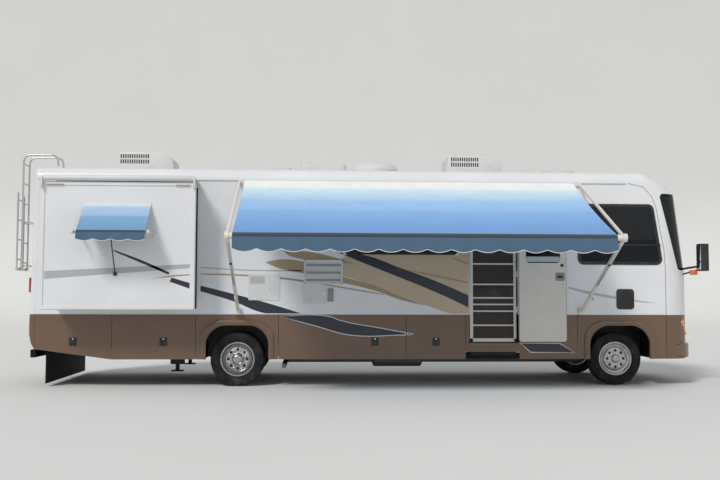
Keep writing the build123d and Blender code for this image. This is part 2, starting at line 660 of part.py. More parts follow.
def make_doors():
    """The entry door stands open, flat on the wall ahead of its doorway, and the screen door is shut."""
    x0 = DOOR_X1 + DOOR_HINGE_GAP
    x1 = 2 * DOOR_X1 - DOOR_X0 - DOOR_GAP
    y0, y1 = DOOR_OPEN_Y, DOOR_OPEN_Y + DOOR_T
    door = side_prism(rectangle(x0, x1, DOOR_Z0 + 14, DOOR_Z1 - DOOR_GAP, radius=45), y0, y1)
    glass = rectangle(x0 + 95, x1 - 80, 1853, 2440, radius=70)
    door -= side_prism(glass, y0 - 5, y1 + 5)
    door += side_prism(offset(glass, amount=22) - offset(glass, amount=-16), y0 - 2, y0)
    door -= side_prism(rectangle(1930, 2074, 1595, 1723, radius=18), y0 - 5, y0 + 16)
    door += side_prism(rectangle(1950, 2054, 1645, 1672, radius=9), y0 + 2, y0 + 20)
    for z in DOOR_HINGES:
        door += bar_z(DOOR_X1, DOOR_HINGE_Y, DOOR_HINGE_R, z, z + HINGE_H)
    keep("entry_door", door)
    keep("entry_door_pane", side_prism(offset(glass, amount=-PANE_FIT), y0, y0 + PANE_T))

    sx0, sx1 = DOOR_X0 + DOOR_GAP, DOOR_X1 - 22
    sy0 = OUTER_Y + SCREEN_SET_IN
    sy1 = sy0 + SCREEN_T
    stile = 62
    frame = side_prism(rectangle(sx0, sx1, DOOR_Z0 + 12, DOOR_Z1 - 10, radius=40), sy0, sy1)
    frame -= block(sx0 + stile, sx1 - 38, sy0 - 5, sy1 + 5, DOOR_Z0 + 60, DOOR_Z1 - 60)
    for z in SCREEN_BARS:
        frame += block(sx0 + stile - 2, sx1 - 36, sy0, sy1 - 6, z - 12, z + 12)
    frame += block(sx0 + 8, sx0 + 44, sy0 - 2, sy0, 1430, 1540)
    for z in SCREEN_HINGES:
        frame += bar_z(SCREEN_HINGE_X, SCREEN_HINGE_Y, SCREEN_HINGE_R, z, z + HINGE_H)
        frame += block(sx1 - 4, SCREEN_HINGE_X, SCREEN_HINGE_Y - 3, SCREEN_HINGE_Y + 3, z, z + HINGE_H)
    mesh = block(sx0 + stile - 10, sx1 - 28, sy1 - 2, sy1, DOOR_Z0 + 50, DOOR_Z1 - 50)
    keep("screen_door", frame + mesh)


SCREEN_BARS = [918, 1132, 1235, 1334, 1540, 1853]


# Awning

def make_awning():
    rail = block(AWNING_X0 - 25, AWNING_X1 + 25, AWNING_WALL_Y, OUTER_Y, AWNING_RAIL_Z - 24, AWNING_RAIL_Z + 24)
    roller = bar_x(ROLLER_Y, ROLLER_Z, ROLLER_R, AWNING_X0 + 26 + SEAT, AWNING_X1 - 26 - SEAT)
    pieces = [rail, roller]
    for x in (AWNING_X0, AWNING_X1):
        hub = bar_x(ROLLER_Y, ROLLER_Z, ROLLER_R + HUB_PROUD, x - 26, x + 26)
        clear = bar_x(ROLLER_Y, ROLLER_Z, ROLLER_R + HUB_PROUD + SEAT, x - 40, x + 40)
        foot = block(x - 38, x + 38, AWNING_WALL_Y - 34, OUTER_Y, ARM_FOOT_Z - 55, ARM_FOOT_Z + 45)
        foot_clear = block(
            x - 50, x + 50, AWNING_WALL_Y - 34 - SEAT, OUTER_Y, ARM_FOOT_Z - 100, ARM_FOOT_Z + 100)
        rail_clear = block(x - 50, x + 50, AWNING_WALL_Y - SEAT, OUTER_Y, AWNING_RAIL_Z - 100, AWNING_RAIL_Z + 100)
        rafter = strut((x, AWNING_WALL_Y + 4, AWNING_RAIL_Z), (x, ROLLER_Y, ROLLER_Z), ARM_W * 0.75, ARM_T)
        lower = strut((x, AWNING_WALL_Y - 14, ARM_FOOT_Z), (x, ROLLER_Y, ROLLER_Z), ARM_W, ARM_T)
        pieces += [hub, foot, rafter - clear - rail_clear, lower - clear - foot_clear]
    keep("awning_frame", *pieces)
    top = (AWNING_WALL_Y - SEAT, AWNING_RAIL_Z + 16)
    low = (ROLLER_Y, ROLLER_Z + ROLLER_R + SEAT)
    middle = ((top[0] + low[0]) / 2, (top[1] + low[1]) / 2 - CANOPY_SAG)
    sheet = Curve() + [
        ThreePointArc(top, middle, low),
        Line(low, (low[0], low[1] + CANOPY_T)),
        ThreePointArc((low[0], low[1] + CANOPY_T), (middle[0], middle[1] + CANOPY_T), (top[0], top[1] + CANOPY_T)),
        Line((top[0], top[1] + CANOPY_T), top),
    ]
    canopy = end_prism(make_face(sheet), AWNING_X0 + 73, AWNING_X1 - 106)
    front_y = ROLLER_Y - ROLLER_R - SEAT
    valance = block(
        AWNING_X0 + 73, AWNING_X1 - 106, front_y - CANOPY_T, front_y, ROLLER_Z - VALANCE_DROP, ROLLER_Z + 20
    )
    keep("awning_canopy", canopy, valance)


# Roof fittings

def make_roof_fittings():
    units = []
    # Rear end, front end, height over the roof, half width
    for x0, x1, top, half in ((-4937, -4003, 345, 340), (415, 1327, 335, 340)):
        seat = ROOF_Z - 12
        outline = polygon(
            (x0 + 30, seat), (x1 - 40, seat), (x1, seat + 90), (x1 - 260, seat + top),
            (x0 + 90, seat + top), (x0, seat + top - 70), (x0, seat + 40),
        )
        unit = side_prism(outline, -half, half)
        unit = fillet(unit.edges().filter_by(lambda e: abs(e.center().Y) > half - 1), 45)
        unit -= end_prism(roof_section(0), x0 - 50, x1 + 50)
        units.append(unit)
    keep("air_conditioners", *units)
    covers = []
    # Rear end, front end, half width, height over the roof's middle, corner radius
    for x0, x1, half, top, radius in (
        (-2399, -2142, 130, 150, 30), (-1974, -1234, 300, 175, 60), (1910, 2551, 300, 105, 60),
    ):
        base = Pos((x0 + x1) / 2, 0, ROOF_Z - 40) * extrude(RectangleRounded(x1 - x0, 2 * half, radius), amount=40 + top)
        base = chamfer(base.faces().sort_by(Axis.Z)[-1].edges(), 22)
        covers.append(base - end_prism(roof_section(0), x0 - 50, x1 + 50))
    domes = []
    # Middle in X, radius, straight height, dome height
    for x, radius, straight, rise in ((-750, 400, 90, 165), (1638, 238, 40, 90)):
        low, high = ROOF_Z - 60, ROOF_Z + straight
        profile = polygon(
            (0, low), (radius, low), (radius, high), (radius * 0.86, high + rise * 0.5),
            (radius * 0.5, high + rise * 0.87), (0, high + rise),
        )
        dome = Pos(x, 0, 0) * revolve(Plane.XZ * profile, Axis.Z)
        domes.append(dome - end_prism(roof_section(0), x - 500, x + 500))
    keep("roof_fittings", *covers, *domes)


# Ladder, bumper and flap

def rail_path(y):
    """The ladder rail's centre line: up the rear wall, over in a hoop and down on the roof."""
    foot, end = (LADDER_X, y, LADDER_PIVOT_Z + LADDER_END_GAP), (-5650, y, 3322)
    corner_a, corner_b = (LADDER_X, y, LADDER_TOP_Z), (-5650, y, LADDER_TOP_Z)
    return FilletPolyline(foot, corner_a, corner_b, end, radius=110)


def rung(x, z):
    """A rung between the two rails."""
    return side_prism(Pos(x, z) * RegularPolygon(11, 8), LADDER_Y0, LADDER_Y1)


def fold_ear(tube_x, y0, y1):
    """A hinge plate from a ladder tube to the fold pin, between two Y planes."""
    reach = LADDER_TUBE_R if tube_x > LADDER_PIVOT_X else -LADDER_TUBE_R
    x0, x1 = sorted((tube_x + reach, LADDER_PIVOT_X - (8 if reach > 0 else -8)))
    return block(x0, x1, y0, y1, LADDER_PIVOT_Z - 6, LADDER_PIVOT_Z + 40)


def make_ladder():
    foot_z = LADDER_PIVOT_Z + LADDER_END_GAP
    pin_r = 5
    rails, lower = None, None
    for y in (LADDER_Y0, LADDER_Y1):
        path = rail_path(y)
        tube = sweep(Plane(origin=path @ 0, z_dir=path % 0) * RegularPolygon(LADDER_TUBE_R, 8), path=path)
        rails = tube if rails is None else rails + tube
        for z in (1800, 2460):
            rails += bar_x(y, z, 9, REAR_X, LADDER_X)
            rails += block(REAR_X - 4, REAR_X + REAR_LEAN, y - 22, y + 22, z - 26, z + 26)
        ear = fold_ear(LADDER_X, y + 10, y + 18)
        rails += ear - disc_y(LADDER_PIVOT_X, LADDER_PIVOT_Z, pin_r + FIT / 4, y, y + 30)
        folded = Pos(LADDER_FOLD_X, y, foot_z) * extrude(RegularPolygon(LADDER_TUBE_R, 8), amount=2915 - foot_z)
        folded += fold_ear(LADDER_FOLD_X, y - 18, y - 10)
        folded += disc_y(LADDER_PIVOT_X, LADDER_PIVOT_Z, pin_r, y - 18, y + 22)
        lower = folded if lower is None else lower + folded
    for z in range(1850, 3400, 300):
        rails += rung(LADDER_X, z)
    rails -= rear_body(0)
    rails -= end_prism(roof_section(0), REAR_SEAM_X, 0)
    keep("ladder_upper", rails)
    for z in range(1900, 2900, 300):
        lower += rung(LADDER_FOLD_X, z)
    keep("ladder_lower", lower)


def make_rear_end():
    bumper_y, flap_y, flap_x = HALF_W - 125, HALF_W - 115, REAR_X + 236
    bumper = end_prism(rectangle(-bumper_y, bumper_y, 430, 550), REAR_X + 5, REAR_X + 85)
    bumper = fillet(bumper.edges().filter_by(Axis.Y), 14)
    for side in (-1, 1):
        y = side * RAIL_Y
        bumper += block(REAR_X + 80, REAR_X + 378, y - 30, y + 30, 470, 530)
        bumper += block(REAR_X + 278, REAR_X + 378, y - 30, y + 30, 530, RAIL_TOP_Z - RAIL_H)
    receiver = end_prism(rectangle(-38, 38, 452, 528) - rectangle(-25.5, 25.5, 464.5, 515.5), REAR_X - 95, REAR_X + 5)
    receiver -= disc_y(REAR_X - 45, 490, 8, -60, 60)
    flap = block(flap_x, flap_x + 12, -flap_y, flap_y, 45, 500)
    hanger = block(flap_x - 10, flap_x + 22, -flap_y, flap_y, 470, 530)
    keep("rear_bumper", bumper + receiver + flap + hanger)


# Chassis and running gear

CROSS_LOW_Z = 740
CROSS_TOP_Z = 810
FUEL_TANK = (600, 1500, 520, HALF_W - 125, 430)
OUTRIGGER_Z = 745
EXHAUST_Y = -260
EXHAUST_Z = 330
EXHAUST_R = 38
EXHAUST_END_X = -2195


def make_chassis():
    frame = None
    x0, x1 = REAR_SEAM_X + 20, NOSE_X + 160
    for side in (-1, 1):
        y = side * RAIL_Y
        rail = block(x0, x1, y - RAIL_W / 2, y + RAIL_W / 2, RAIL_TOP_Z - RAIL_H, RAIL_TOP_Z)
        inner = y - side * RAIL_T
        rail -= block(
            x0 - 1, x1 + 1, min(inner - RAIL_W / 2, inner + RAIL_W / 2), max(inner - RAIL_W / 2, inner + RAIL_W / 2),
            RAIL_TOP_Z - RAIL_H + RAIL_T, RAIL_TOP_Z - RAIL_T,
        )
        frame = rail if frame is None else frame + rail
    reach = RAIL_Y + RAIL_W / 2 - RAIL_T / 2
    for x in (REAR_X + 158, -5300, -4700, -3750, -2050, -1500, -900, 300, 1500, NOSE_X + 90):
        frame += block(x - 35, x + 35, -reach, reach, CROSS_LOW_Z, CROSS_TOP_Z)
    for x in (-5500, -4200, -2300, -900, 400, 1800, 3300):
        for side in (-1, 1):
            y0, y1 = sorted((side * (RAIL_Y - 30), side * (RAIL_Y + 30)))
            frame += block(x - 40, x + 40, y0, y1, RAIL_TOP_Z, BELT_Z - FLOOR_T)
    for x in (FUEL_TANK[0] + 200, FUEL_TANK[1] - 200):
        frame += block(x - 25, x + 25, RAIL_Y, FUEL_TANK[3], OUTRIGGER_Z, OUTRIGGER_Z + 60)
    for x in (-1500, -900, 300, 1500):
        frame += block(
            x - 12, x + 12, EXHAUST_Y - 5, EXHAUST_Y + 5, EXHAUST_Z + EXHAUST_R + SEAT, CROSS_LOW_Z + 5)
    keep("chassis_frame", frame)


def spring(axle_x, side, span, seat_z):
    """A leaf spring pack under a frame rail, with its hangers."""
    y = side * RAIL_Y
    eye_z = RAIL_TOP_Z - RAIL_H - 45
    leaf = Curve() + [
        ThreePointArc((axle_x - span, eye_z), (axle_x, seat_z), (axle_x + span, eye_z)),
        Line((axle_x + span, eye_z), (axle_x + span, eye_z + 16)),
        ThreePointArc((axle_x + span, eye_z + 16), (axle_x, seat_z + 55), (axle_x - span, eye_z + 16)),
        Line((axle_x - span, eye_z + 16), (axle_x - span, eye_z)),
    ]
    pack = side_prism(make_face(leaf), y - 37, y + 37)
    for end in (-span, span):
        pack += block(axle_x + end - 40, axle_x + end + 40, y - 37, y + 37, eye_z - 25, RAIL_TOP_Z - RAIL_H)
    return pack


def make_axles():
    beam_z = TYRE_R - 20
    beam = block(FRONT_AXLE_X - 35, FRONT_AXLE_X + 35, 75 - KINGPIN_Y, KINGPIN_Y - 75, beam_z - 45, beam_z + 45)
    for side in (-1, 1):
        y0, y1 = sorted((side * (KINGPIN_Y - 80), side * KINGPIN_Y))
        beam += block(FRONT_AXLE_X - 40, FRONT_AXLE_X + 40, y0, y1, TYRE_R - 55, TYRE_R + 55)
        beam += bar_z(FRONT_AXLE_X, side * KINGPIN_Y, 45, TYRE_R - 55, TYRE_R + 55)
        beam += spring(FRONT_AXLE_X, side, 640, beam_z + 45)
    for side in (-1, 1):
        beam -= bar_z(FRONT_AXLE_X, side * KINGPIN_Y, KINGPIN_R + FIT / 4, 0, 900)
    keep("front_axle", beam)
    hub_y = REAR_TYRE_OUTER_Y - 120
    axle = disc_y(REAR_AXLE_X, TYRE_R, 72, -hub_y + 350, hub_y - 350)
    axle += Pos(REAR_AXLE_X, 0, TYRE_R) * chamfer(disc_y(0, 0, 205, -130, 130).edges(), 60)
    axle += bar_x(0, TYRE_R, 90, REAR_AXLE_X, REAR_AXLE_X + 290)
    for side in (-1, 1):
        axle += spring(REAR_AXLE_X, side, 700, TYRE_R + 40)
        y0, y1 = sorted((side * 600, side * (hub_y - 20)))
        axle += disc_y(REAR_AXLE_X, TYRE_R, SPINDLE_R, y0, y1)
    keep("rear_axle", axle)


def make_drive():
    engine = block(2560, 3480, -330, 330, 640, 1000)
    engine += block(1780, 2560, -190, 190, 560, 860)
    shaft = rod((1780, 0, 650), (REAR_AXLE_X + 240, 0, TYRE_R), 48)
    shaft -= bar_x(0, TYRE_R, 90, REAR_AXLE_X, REAR_AXLE_X + 290) + engine
    keep("engine", engine)
    pipe = FilletPolyline(
        (2640, EXHAUST_Y, 640 - SEAT), (2640, EXHAUST_Y, EXHAUST_Z), (EXHAUST_END_X, EXHAUST_Y, EXHAUST_Z),
        (EXHAUST_END_X, 125 - HALF_W, 302), radius=110,
    )
    tube = sweep(Plane(origin=pipe @ 0, z_dir=pipe % 0) * RegularPolygon(EXHAUST_R, 12), path=pipe)
    muffler = bar_x(EXHAUST_Y, EXHAUST_Z, 105, -800, 0)
    muffler = chamfer(muffler.edges(), 30)
    x0, x1, y0, y1, low = FUEL_TANK
    tanks = [
        block(-5500, -4300, -340, 340, CROSS_LOW_Z - 220, CROSS_LOW_Z - SEAT),
        block(-1700, -200, -340, 340, CROSS_TOP_Z + SEAT, CROSS_TOP_Z + 180),
        block(x0, x1, y0, y1, low, OUTRIGGER_Z - SEAT),
    ]
    tanks = [fillet(tank.edges().filter_by(Axis.X), 30) for tank in tanks]
    keep("driveline", shaft, tube + muffler, *tanks)


def tyre(y0, y1):
    """A tyre on the wheel's axis, between two Y planes."""
    bead, bulge = RIM_R + SEAT, RIM_R + 76
    return revolve(polygon(
        (bead, y0 + 34), (bulge, y0), (TYRE_R, y0 + 22), (TYRE_R, y1 - 22), (bulge, y1), (bead, y1 - 34),
    ), Axis.Y)


def make_wheels():
    """Wheels are drawn on the Y axis and moved to their axle ends."""
    wall, flange = 12, 8
    bore = SPINDLE_R + FIT
    for side, label in ((CURB, "curb"), (FAR, "far")):
        place = Pos(FRONT_AXLE_X, 0, TYRE_R)
        outer = -FRONT_TYRE_OUTER_Y
        inner = outer + TYRE_W
        a, b = outer + RIM_SET_IN, inner - RIM_SET_IN
        wheel = revolve(polygon(
            (RIM_R + flange, a), (RIM_R, a + 16), (RIM_R, b), (RIM_R - wall, b), (RIM_R - wall, a + 62),
            (HUB_R, a + 62), (HUB_R, b + 3), (bore, b + 3), (bore, a + BORE_DEPTH), (0, a + BORE_DEPTH), (0, outer - 20),
            (56, outer - 20), (60, a + 22), (200, a + 30), (RIM_R - 16, a),
        ), Axis.Y)
        keep(f"front_wheel_{label}", on_side(side, place * wheel))
        keep(f"front_tyre_{label}", on_side(side, place * tyre(outer, inner)))
        place = Pos(REAR_AXLE_X, 0, TYRE_R)
        outer = -REAR_TYRE_OUTER_Y
        second = outer + TWIN_SPACING
        mating = outer + (TWIN_SPACING + TYRE_W) / 2
        a, b = outer + RIM_SET_IN, second + TYRE_W - RIM_SET_IN
        c, d = outer + TYRE_W - RIM_SET_IN, second + RIM_SET_IN
        twin = revolve(polygon(
            (RIM_R + flange, a), (RIM_R, a + 16), (RIM_R, c), (196, mating - 12), (196, mating + 12), (RIM_R, d),
            (RIM_R, b), (RIM_R - wall, b), (RIM_R - wall, d + 14), (180, mating + 28), (BRAKE_R - 40, mating + 28),
            (BRAKE_R - 40, b - 20), (bore, b - 20), (bore, a + 90), (0, a + 90), (0, a - 4),
            (58, a - 4), (66, a + 24), (HUB_R, a + 60), (HUB_R, mating - 28), (180, mating - 28), (RIM_R - wall, c - 14),
            (RIM_R - 16, a),
        ), Axis.Y)
        keep(f"rear_wheels_{label}", on_side(side, place * twin))
        pair = tyre(outer, outer + TYRE_W) + tyre(second, second + TYRE_W)
        keep(f"rear_tyres_{label}", on_side(side, place * pair))


def make_knuckles():
    gap = 2
    for side, label in ((CURB, "curb"), (FAR, "far")):
        place = Pos(FRONT_AXLE_X, 0, TYRE_R)
        pin = bar_z(0, -KINGPIN_Y, KINGPIN_R, -95, 95)
        yoke = block(-45, 45, -KINGPIN_Y - 75, -KINGPIN_Y + 45, 55 + gap, 95)
        yoke += block(-45, 45, -KINGPIN_Y - 75, -KINGPIN_Y + 45, -95, -55 - gap)
        yoke += block(-45, 45, -KINGPIN_Y - 75, -KINGPIN_Y - 52, -95, 95)
        tip_y = RIM_SET_IN + BORE_DEPTH + RUN_CLEAR - FRONT_TYRE_OUTER_Y
        spindle = disc_y(0, 0, SPINDLE_R, tip_y, -KINGPIN_Y - 60)
        arm = block(-330, -40, -KINGPIN_Y - 20, -KINGPIN_Y + 40, -95, -65)
        knuckle = pin + yoke + spindle + arm
        keep(f"knuckle_{label}", on_side(side, place * knuckle))


# Inside the cab

STEERING_CENTRE = (3330, 560, 1745)
STEERING_AXIS = (-0.643, 0, 0.766)


def make_cab():
    dash = side_prism(polygon(
        (3480, 1300), (3530, 1560), (3640, 1640), (3930, 1690), (3930, 1500), (3640, BELT_Z), (3560, BELT_Z),
    ), -1080, 1080)
    dash &= nose_body(CAP_T + 15)
    seats = []
    for y in (-560, 560):
        base = block(2880, 3180, y - 160, y + 160, BELT_Z, 1330)
        cushion = block(2740, 3260, y - 260, y + 260, 1330, 1480)
        back = side_prism(
            polygon((2640, 2130), (2760, 2130), (2880, 1480), (2740, 1440)), y - 250, y + 250)
        seats.append(fillet((cushion + back).edges().filter_by(Axis.Y), 20) + base)
    keep("seats", *seats)
    centre = Vector(*STEERING_CENTRE)
    plane = Plane(origin=centre, x_dir=(0, 1, 0), z_dir=STEERING_AXIS)
    ring = plane * revolve(Plane.XZ * (Pos(200, 0) * RegularPolygon(15, 6)), Axis.Z)
    hub = plane * Cylinder(45, 40)
    spokes = plane * Box(390, 36, 12) + plane * (Pos(0, -100, 0) * Box(36, 200, 12))
    keep("steering_wheel", ring + hub + spokes)
    start = centre - plane.z_dir * (20 + SEAT)
    column = rod(tuple(start), tuple(centre - plane.z_dir * 330), 26)
    keep("dashboard", dash + column)


# Lamps, mirrors, grille, hatches

def make_front_fittings():
    half, low, high = GRILLE_Y - SEAM, GRILLE_LOW_Z + SEAM, GRILLE_HIGH_Z - SEAM
    plate = rectangle(-half, half, low, high, radius=FRONT_CORNER_R - SEAM)
    grille = end_prism(plate, NOSE_X + 395, NOSE_X + 510)
    for z in range(GRILLE_LOW_Z + 30, GRILLE_HIGH_Z - 20, 34):
        grille -= block(NOSE_X + 410, NOSE_X + 610, 20 - half, half - 20, z, z + 18)
    keep("grille", grille & (nose_low(-6) - nose_low(60)))
    bumper = nose_low(-BUMPER_PROUD) - nose_low(-SEAM)
    bumper &= end_prism(rectangle(25 - HALF_W, HALF_W - 25, 430, 640, radius=40), NOSE_X + 10, NOSE_X + 1300)
    keep("front_bumper", bumper)


def make_mirrors():
    heads = []
    for side in (CURB, FAR):
        y = -MIRROR_Y
        head = block(MIRROR_X, MIRROR_X + 139, y - MIRROR_W / 2, y + MIRROR_W / 2, 1750, 2161)
        head = fillet(head.edges().filter_by(Axis.Z), 45)
        head -= block(MIRROR_X - 17, MIRROR_X + 8, y - MIRROR_W / 2 + 15, y + MIRROR_W / 2 - 15, 1765, 2146)
        foot_y, end_x, end_y = 195 - HALF_W, MIRROR_X + 63, 30 - MIRROR_Y
        arm = rod((NOSE_X + 310, foot_y, 1790), (end_x, end_y, 1830), 16)
        arm += rod((NOSE_X + 300, foot_y, 1700), (end_x, end_y, 1790), 12)
        heads.append(on_side(side, head + (arm - nose_body(0))))
    keep("mirrors", *heads)


def make_lamps():
    lamps = []
    for side in (CURB, FAR):
        y0, y1 = sorted((side * (LAMP_IN_Y + SEAT), side * (LAMP_OUT_Y - SEAT)))
        front = rectangle(y0, y1, LAMP_LOW_Z + SEAT, LAMP_HIGH_Z - SEAT, radius=FRONT_CORNER_R - SEAT)
        lamps.append(end_prism(front, NOSE_X + 10, NOSE_X + 1300) & (nose_low(3) - nose_low(55)))
    for y in (-1, 1):
        outer = y * (HALF_W - 70)
        y0, y1 = sorted((outer, outer - y * 180))
        lamps.append(block(REAR_X - 22, REAR_X + 20, y0, y1, 1400, 1620) - rear_body(0))
    keep("lamps", *lamps)


# Name, rear edge, front edge, low edge, top edge, corner radius, how far it stands out.
HATCHES = [
    ("refrigerator vent", -1905, -1314, 1531, 1904, 14, 14),
    ("water heater door", -2736, -2266, 1292, 1679, 12, 9),
    ("furnace door", -1932, -1570, 1238, 1508, 12, 9),
    ("outlet box", -1552, -1455, 1267, 1477, 6, 20),
    ("fuel door", 2884, 3160, 1164, 1475, 40, 9),
]


def make_hatches():
    plates = []
    for _, x0, x1, z0, z1, radius, proud in HATCHES:
        plates.append(side_prism(rectangle(x0, x1, z0, z1, radius=radius), -HALF_W - proud, -HALF_W))
    for n in range(9):
        z = 1560 + n * 36
        plates[0] -= block(-1880, -1340, -HALF_W - 20, -HALF_W - 4, z, z + 20)
    keep("wall_hatches", *plates)


def make_step():
    x0, x1 = DOOR_X0 + STEP_INSET + 12 + SEAT, DOOR_X1 - STEP_INSET - 12 - SEAT
    step_y = OUTER_Y + STEP_START
    keep("entry_step", block(x0, x1, step_y, step_y + STEP_DEPTH, STEP_LOW_Z, STEP_TOP_Z))


def overall_middle():
    """The middle of the overall box in plan, between ladder and front bumper, awning roller and far mirror."""
    corner_y = HALF_W - NOSE_CORNER_R
    crown = NOSE_FRONT_R - sqrt((NOSE_FRONT_R - NOSE_CORNER_R) ** 2 - corner_y ** 2)
    nose_x = NOSE_X + crown + BUMPER_PROUD
    low_y = ROLLER_Y - ROLLER_R - HUB_PROUD
    return (LADDER_FOLD_X - LADDER_TUBE_R + nose_x) / 2, (low_y + MIRROR_Y + MIRROR_W / 2) / 2


def write_parts():
    os.makedirs("parts", exist_ok=True)
    middle_x, middle_y = overall_middle()
    boxes = []
    for name, solids in PARTS.items():
        moved = [Pos(-middle_x, -middle_y, 0) * solid for solid in solids]
        shape = moved[0] if len(moved) == 1 else Compound(children=moved)
        shape.label = name
        export_step(shape, f"parts/{name}.step")
        boxes += [solid.bounding_box() for solid in moved]
    print("overall X", min(b.min.X for b in boxes), max(b.max.X for b in boxes))
    print("overall Y", min(b.min.Y for b in boxes), max(b.max.Y for b in boxes))
    print("overall Z", min(b.min.Z for b in boxes), max(b.max.Z for b in boxes))


def main():
    steps = (
        make_walls, make_windows, make_roof, make_front_cap, make_rear_cap, make_skirts, make_bay_doors,
        make_bays, make_floor, make_slide, make_slide_awnings, make_doors, make_awning, make_roof_fittings,
        make_ladder, make_rear_end, make_chassis, make_axles, make_drive, make_wheels, make_knuckles,
        make_cab, make_front_fittings, make_mirrors, make_lamps, make_hatches, make_step,
    )
    for step in steps:
        step()
    write_parts()


if __name__ == "__main__":
    main()
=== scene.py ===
"""Motorhome looks: finishes, striping, wheels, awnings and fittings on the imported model.

Lengths are metres in the coach's own axes, as in the part's source: X = 0 midway between the axles, Y = 0 on the
centre line, Z = 0 on the ground, +X forward and the curb side at -Y. settle() moves each piece to the part's frame.
"""

import json
from math import atan2, cos, hypot, pi, radians, sin

import bmesh
import bpy
from mathutils import Matrix, Vector

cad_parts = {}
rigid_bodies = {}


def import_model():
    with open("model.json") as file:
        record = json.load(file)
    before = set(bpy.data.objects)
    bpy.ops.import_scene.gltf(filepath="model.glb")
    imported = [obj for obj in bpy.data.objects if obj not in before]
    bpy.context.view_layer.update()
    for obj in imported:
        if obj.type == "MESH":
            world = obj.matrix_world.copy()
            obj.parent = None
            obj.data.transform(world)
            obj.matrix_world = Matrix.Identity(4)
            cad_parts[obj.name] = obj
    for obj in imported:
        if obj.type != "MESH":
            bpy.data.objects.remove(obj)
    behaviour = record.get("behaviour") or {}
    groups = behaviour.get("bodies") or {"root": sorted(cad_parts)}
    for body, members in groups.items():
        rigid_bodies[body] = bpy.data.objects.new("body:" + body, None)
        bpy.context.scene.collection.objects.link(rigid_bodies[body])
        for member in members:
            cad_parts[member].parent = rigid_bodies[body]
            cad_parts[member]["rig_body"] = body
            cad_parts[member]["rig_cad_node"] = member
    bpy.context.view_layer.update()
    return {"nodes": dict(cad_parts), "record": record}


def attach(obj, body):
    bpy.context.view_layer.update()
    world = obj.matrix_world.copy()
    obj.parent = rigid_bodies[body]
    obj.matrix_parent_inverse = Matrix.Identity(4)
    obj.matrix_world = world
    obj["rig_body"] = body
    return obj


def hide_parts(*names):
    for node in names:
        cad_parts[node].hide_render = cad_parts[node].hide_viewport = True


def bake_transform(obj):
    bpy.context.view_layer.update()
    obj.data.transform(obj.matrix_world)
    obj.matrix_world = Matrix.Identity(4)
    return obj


bl_info = {
    "name": "Motorhome",
    "version": (1, 0, 0),
    "blender": (4, 5, 0),
    "location": "3D View > Sidebar > Motorhome",
    "description": "Finishes and fittings for a motorhome with its awning out",
    "category": "Add Mesh",
}

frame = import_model()

# The part's origin seen from the coach's axes
ORIGIN = Vector((-1.003022, -0.8635, 0))
MIRROR_Y = Matrix.Scale(-1, 4, (0, 1, 0))
SIDES = (("curb", -1), ("far", 1))

WALL_Y = -1.275
SLIDE_Y = -1.826
BELT_Z = 1.078
SKIRT_Z = 0.408

TYRE_R = 0.405
TYRE_W = 0.226
TYRE_STEPS = 252
TWIN_SPACING = 0.262
RIM_R = 0.248
RIM_SET_IN = 0.014
BORE_R = 0.0384
FRONT_AXLE_X, FRONT_OUTER_Y = 2.8955, -1.175
REAR_AXLE_X, REAR_OUTER_Y = -2.8955, -1.215

AWNING_X = (-2.810, 2.224)
ROLLER_Y, ROLLER_Z = -3.266, 2.131
SHADE_X = (-5.055, -4.105)
SHADE_ROLLER_Y, SHADE_ROLLER_Z = SLIDE_Y - 0.440, 2.240

# The entry door's faces while it is open
DOOR_INNER_Y, DOOR_OUTER_Y = -1.322, -1.282


# Settings that a user would change

class FinishSettings(bpy.types.PropertyGroup):
    body: bpy.props.FloatVectorProperty(
        name="Body", description="Gelcoat colour of the walls", subtype="COLOR", default=(0.74, 0.75, 0.77))
    skirt: bpy.props.FloatVectorProperty(
        name="Skirt", description="Paint of the lower panels", subtype="COLOR", default=(0.150, 0.088, 0.055))
    navy: bpy.props.FloatVectorProperty(
        name="Dark stripe", description="Darkest vinyl stripe", subtype="COLOR", default=(0.018, 0.024, 0.036))
    tan: bpy.props.FloatVectorProperty(
        name="Tan stripe", description="Tan vinyl stripes", subtype="COLOR", default=(0.36, 0.27, 0.155))
    beige: bpy.props.FloatVectorProperty(
        name="Beige area", description="Wide area beside the doorway", subtype="COLOR", default=(0.52, 0.41, 0.29))
    grey: bpy.props.FloatVectorProperty(
        name="Grey stripe", description="Light grey vinyl", subtype="COLOR", default=(0.42, 0.44, 0.46))


class AwningSettings(bpy.types.PropertyGroup):
    sag: bpy.props.FloatProperty(
        name="Sag", description="How far the cloth hangs below a straight line", subtype="DISTANCE", default=0.045)
    scallop: bpy.props.FloatProperty(
        name="Scallop", description="Width of one wave of the valance", subtype="DISTANCE", default=0.315)
    drop: bpy.props.FloatProperty(
        name="Valance drop", description="Length of the valance", subtype="DISTANCE", default=0.195)


class WheelSettings(bpy.types.PropertyGroup):
    steps: bpy.props.IntProperty(
        name="Steps", description="Faces round a wheel", default=72, min=24, max=160)
    lugs: bpy.props.IntProperty(name="Lug nuts", description="Nuts on each wheel", default=8, min=4, max=12)
    groove: bpy.props.FloatProperty(
        name="Groove", description="Depth of the tread's grooves", subtype="DISTANCE", default=0.011)


# Placing and shaping

def clear():
    """Leave edit mode and deselect everything."""
    if bpy.context.object and bpy.context.object.mode != "OBJECT":
        bpy.ops.object.mode_set(mode="OBJECT")
    bpy.ops.object.select_all(action="DESELECT")


def only(obj):
    """Make one object the selected and active one."""
    clear()
    obj.select_set(True)
    bpy.context.view_layer.objects.active = obj
    return obj


def named(name):
    """Name the object that an operator has just added."""
    obj = bpy.context.active_object
    obj.name = obj.data.name = name
    return obj


def applied(obj):
    """Put the object's place, turn and scale into its mesh."""
    only(obj)
    bpy.ops.object.transform_apply(location=True, rotation=True, scale=True)
    return obj


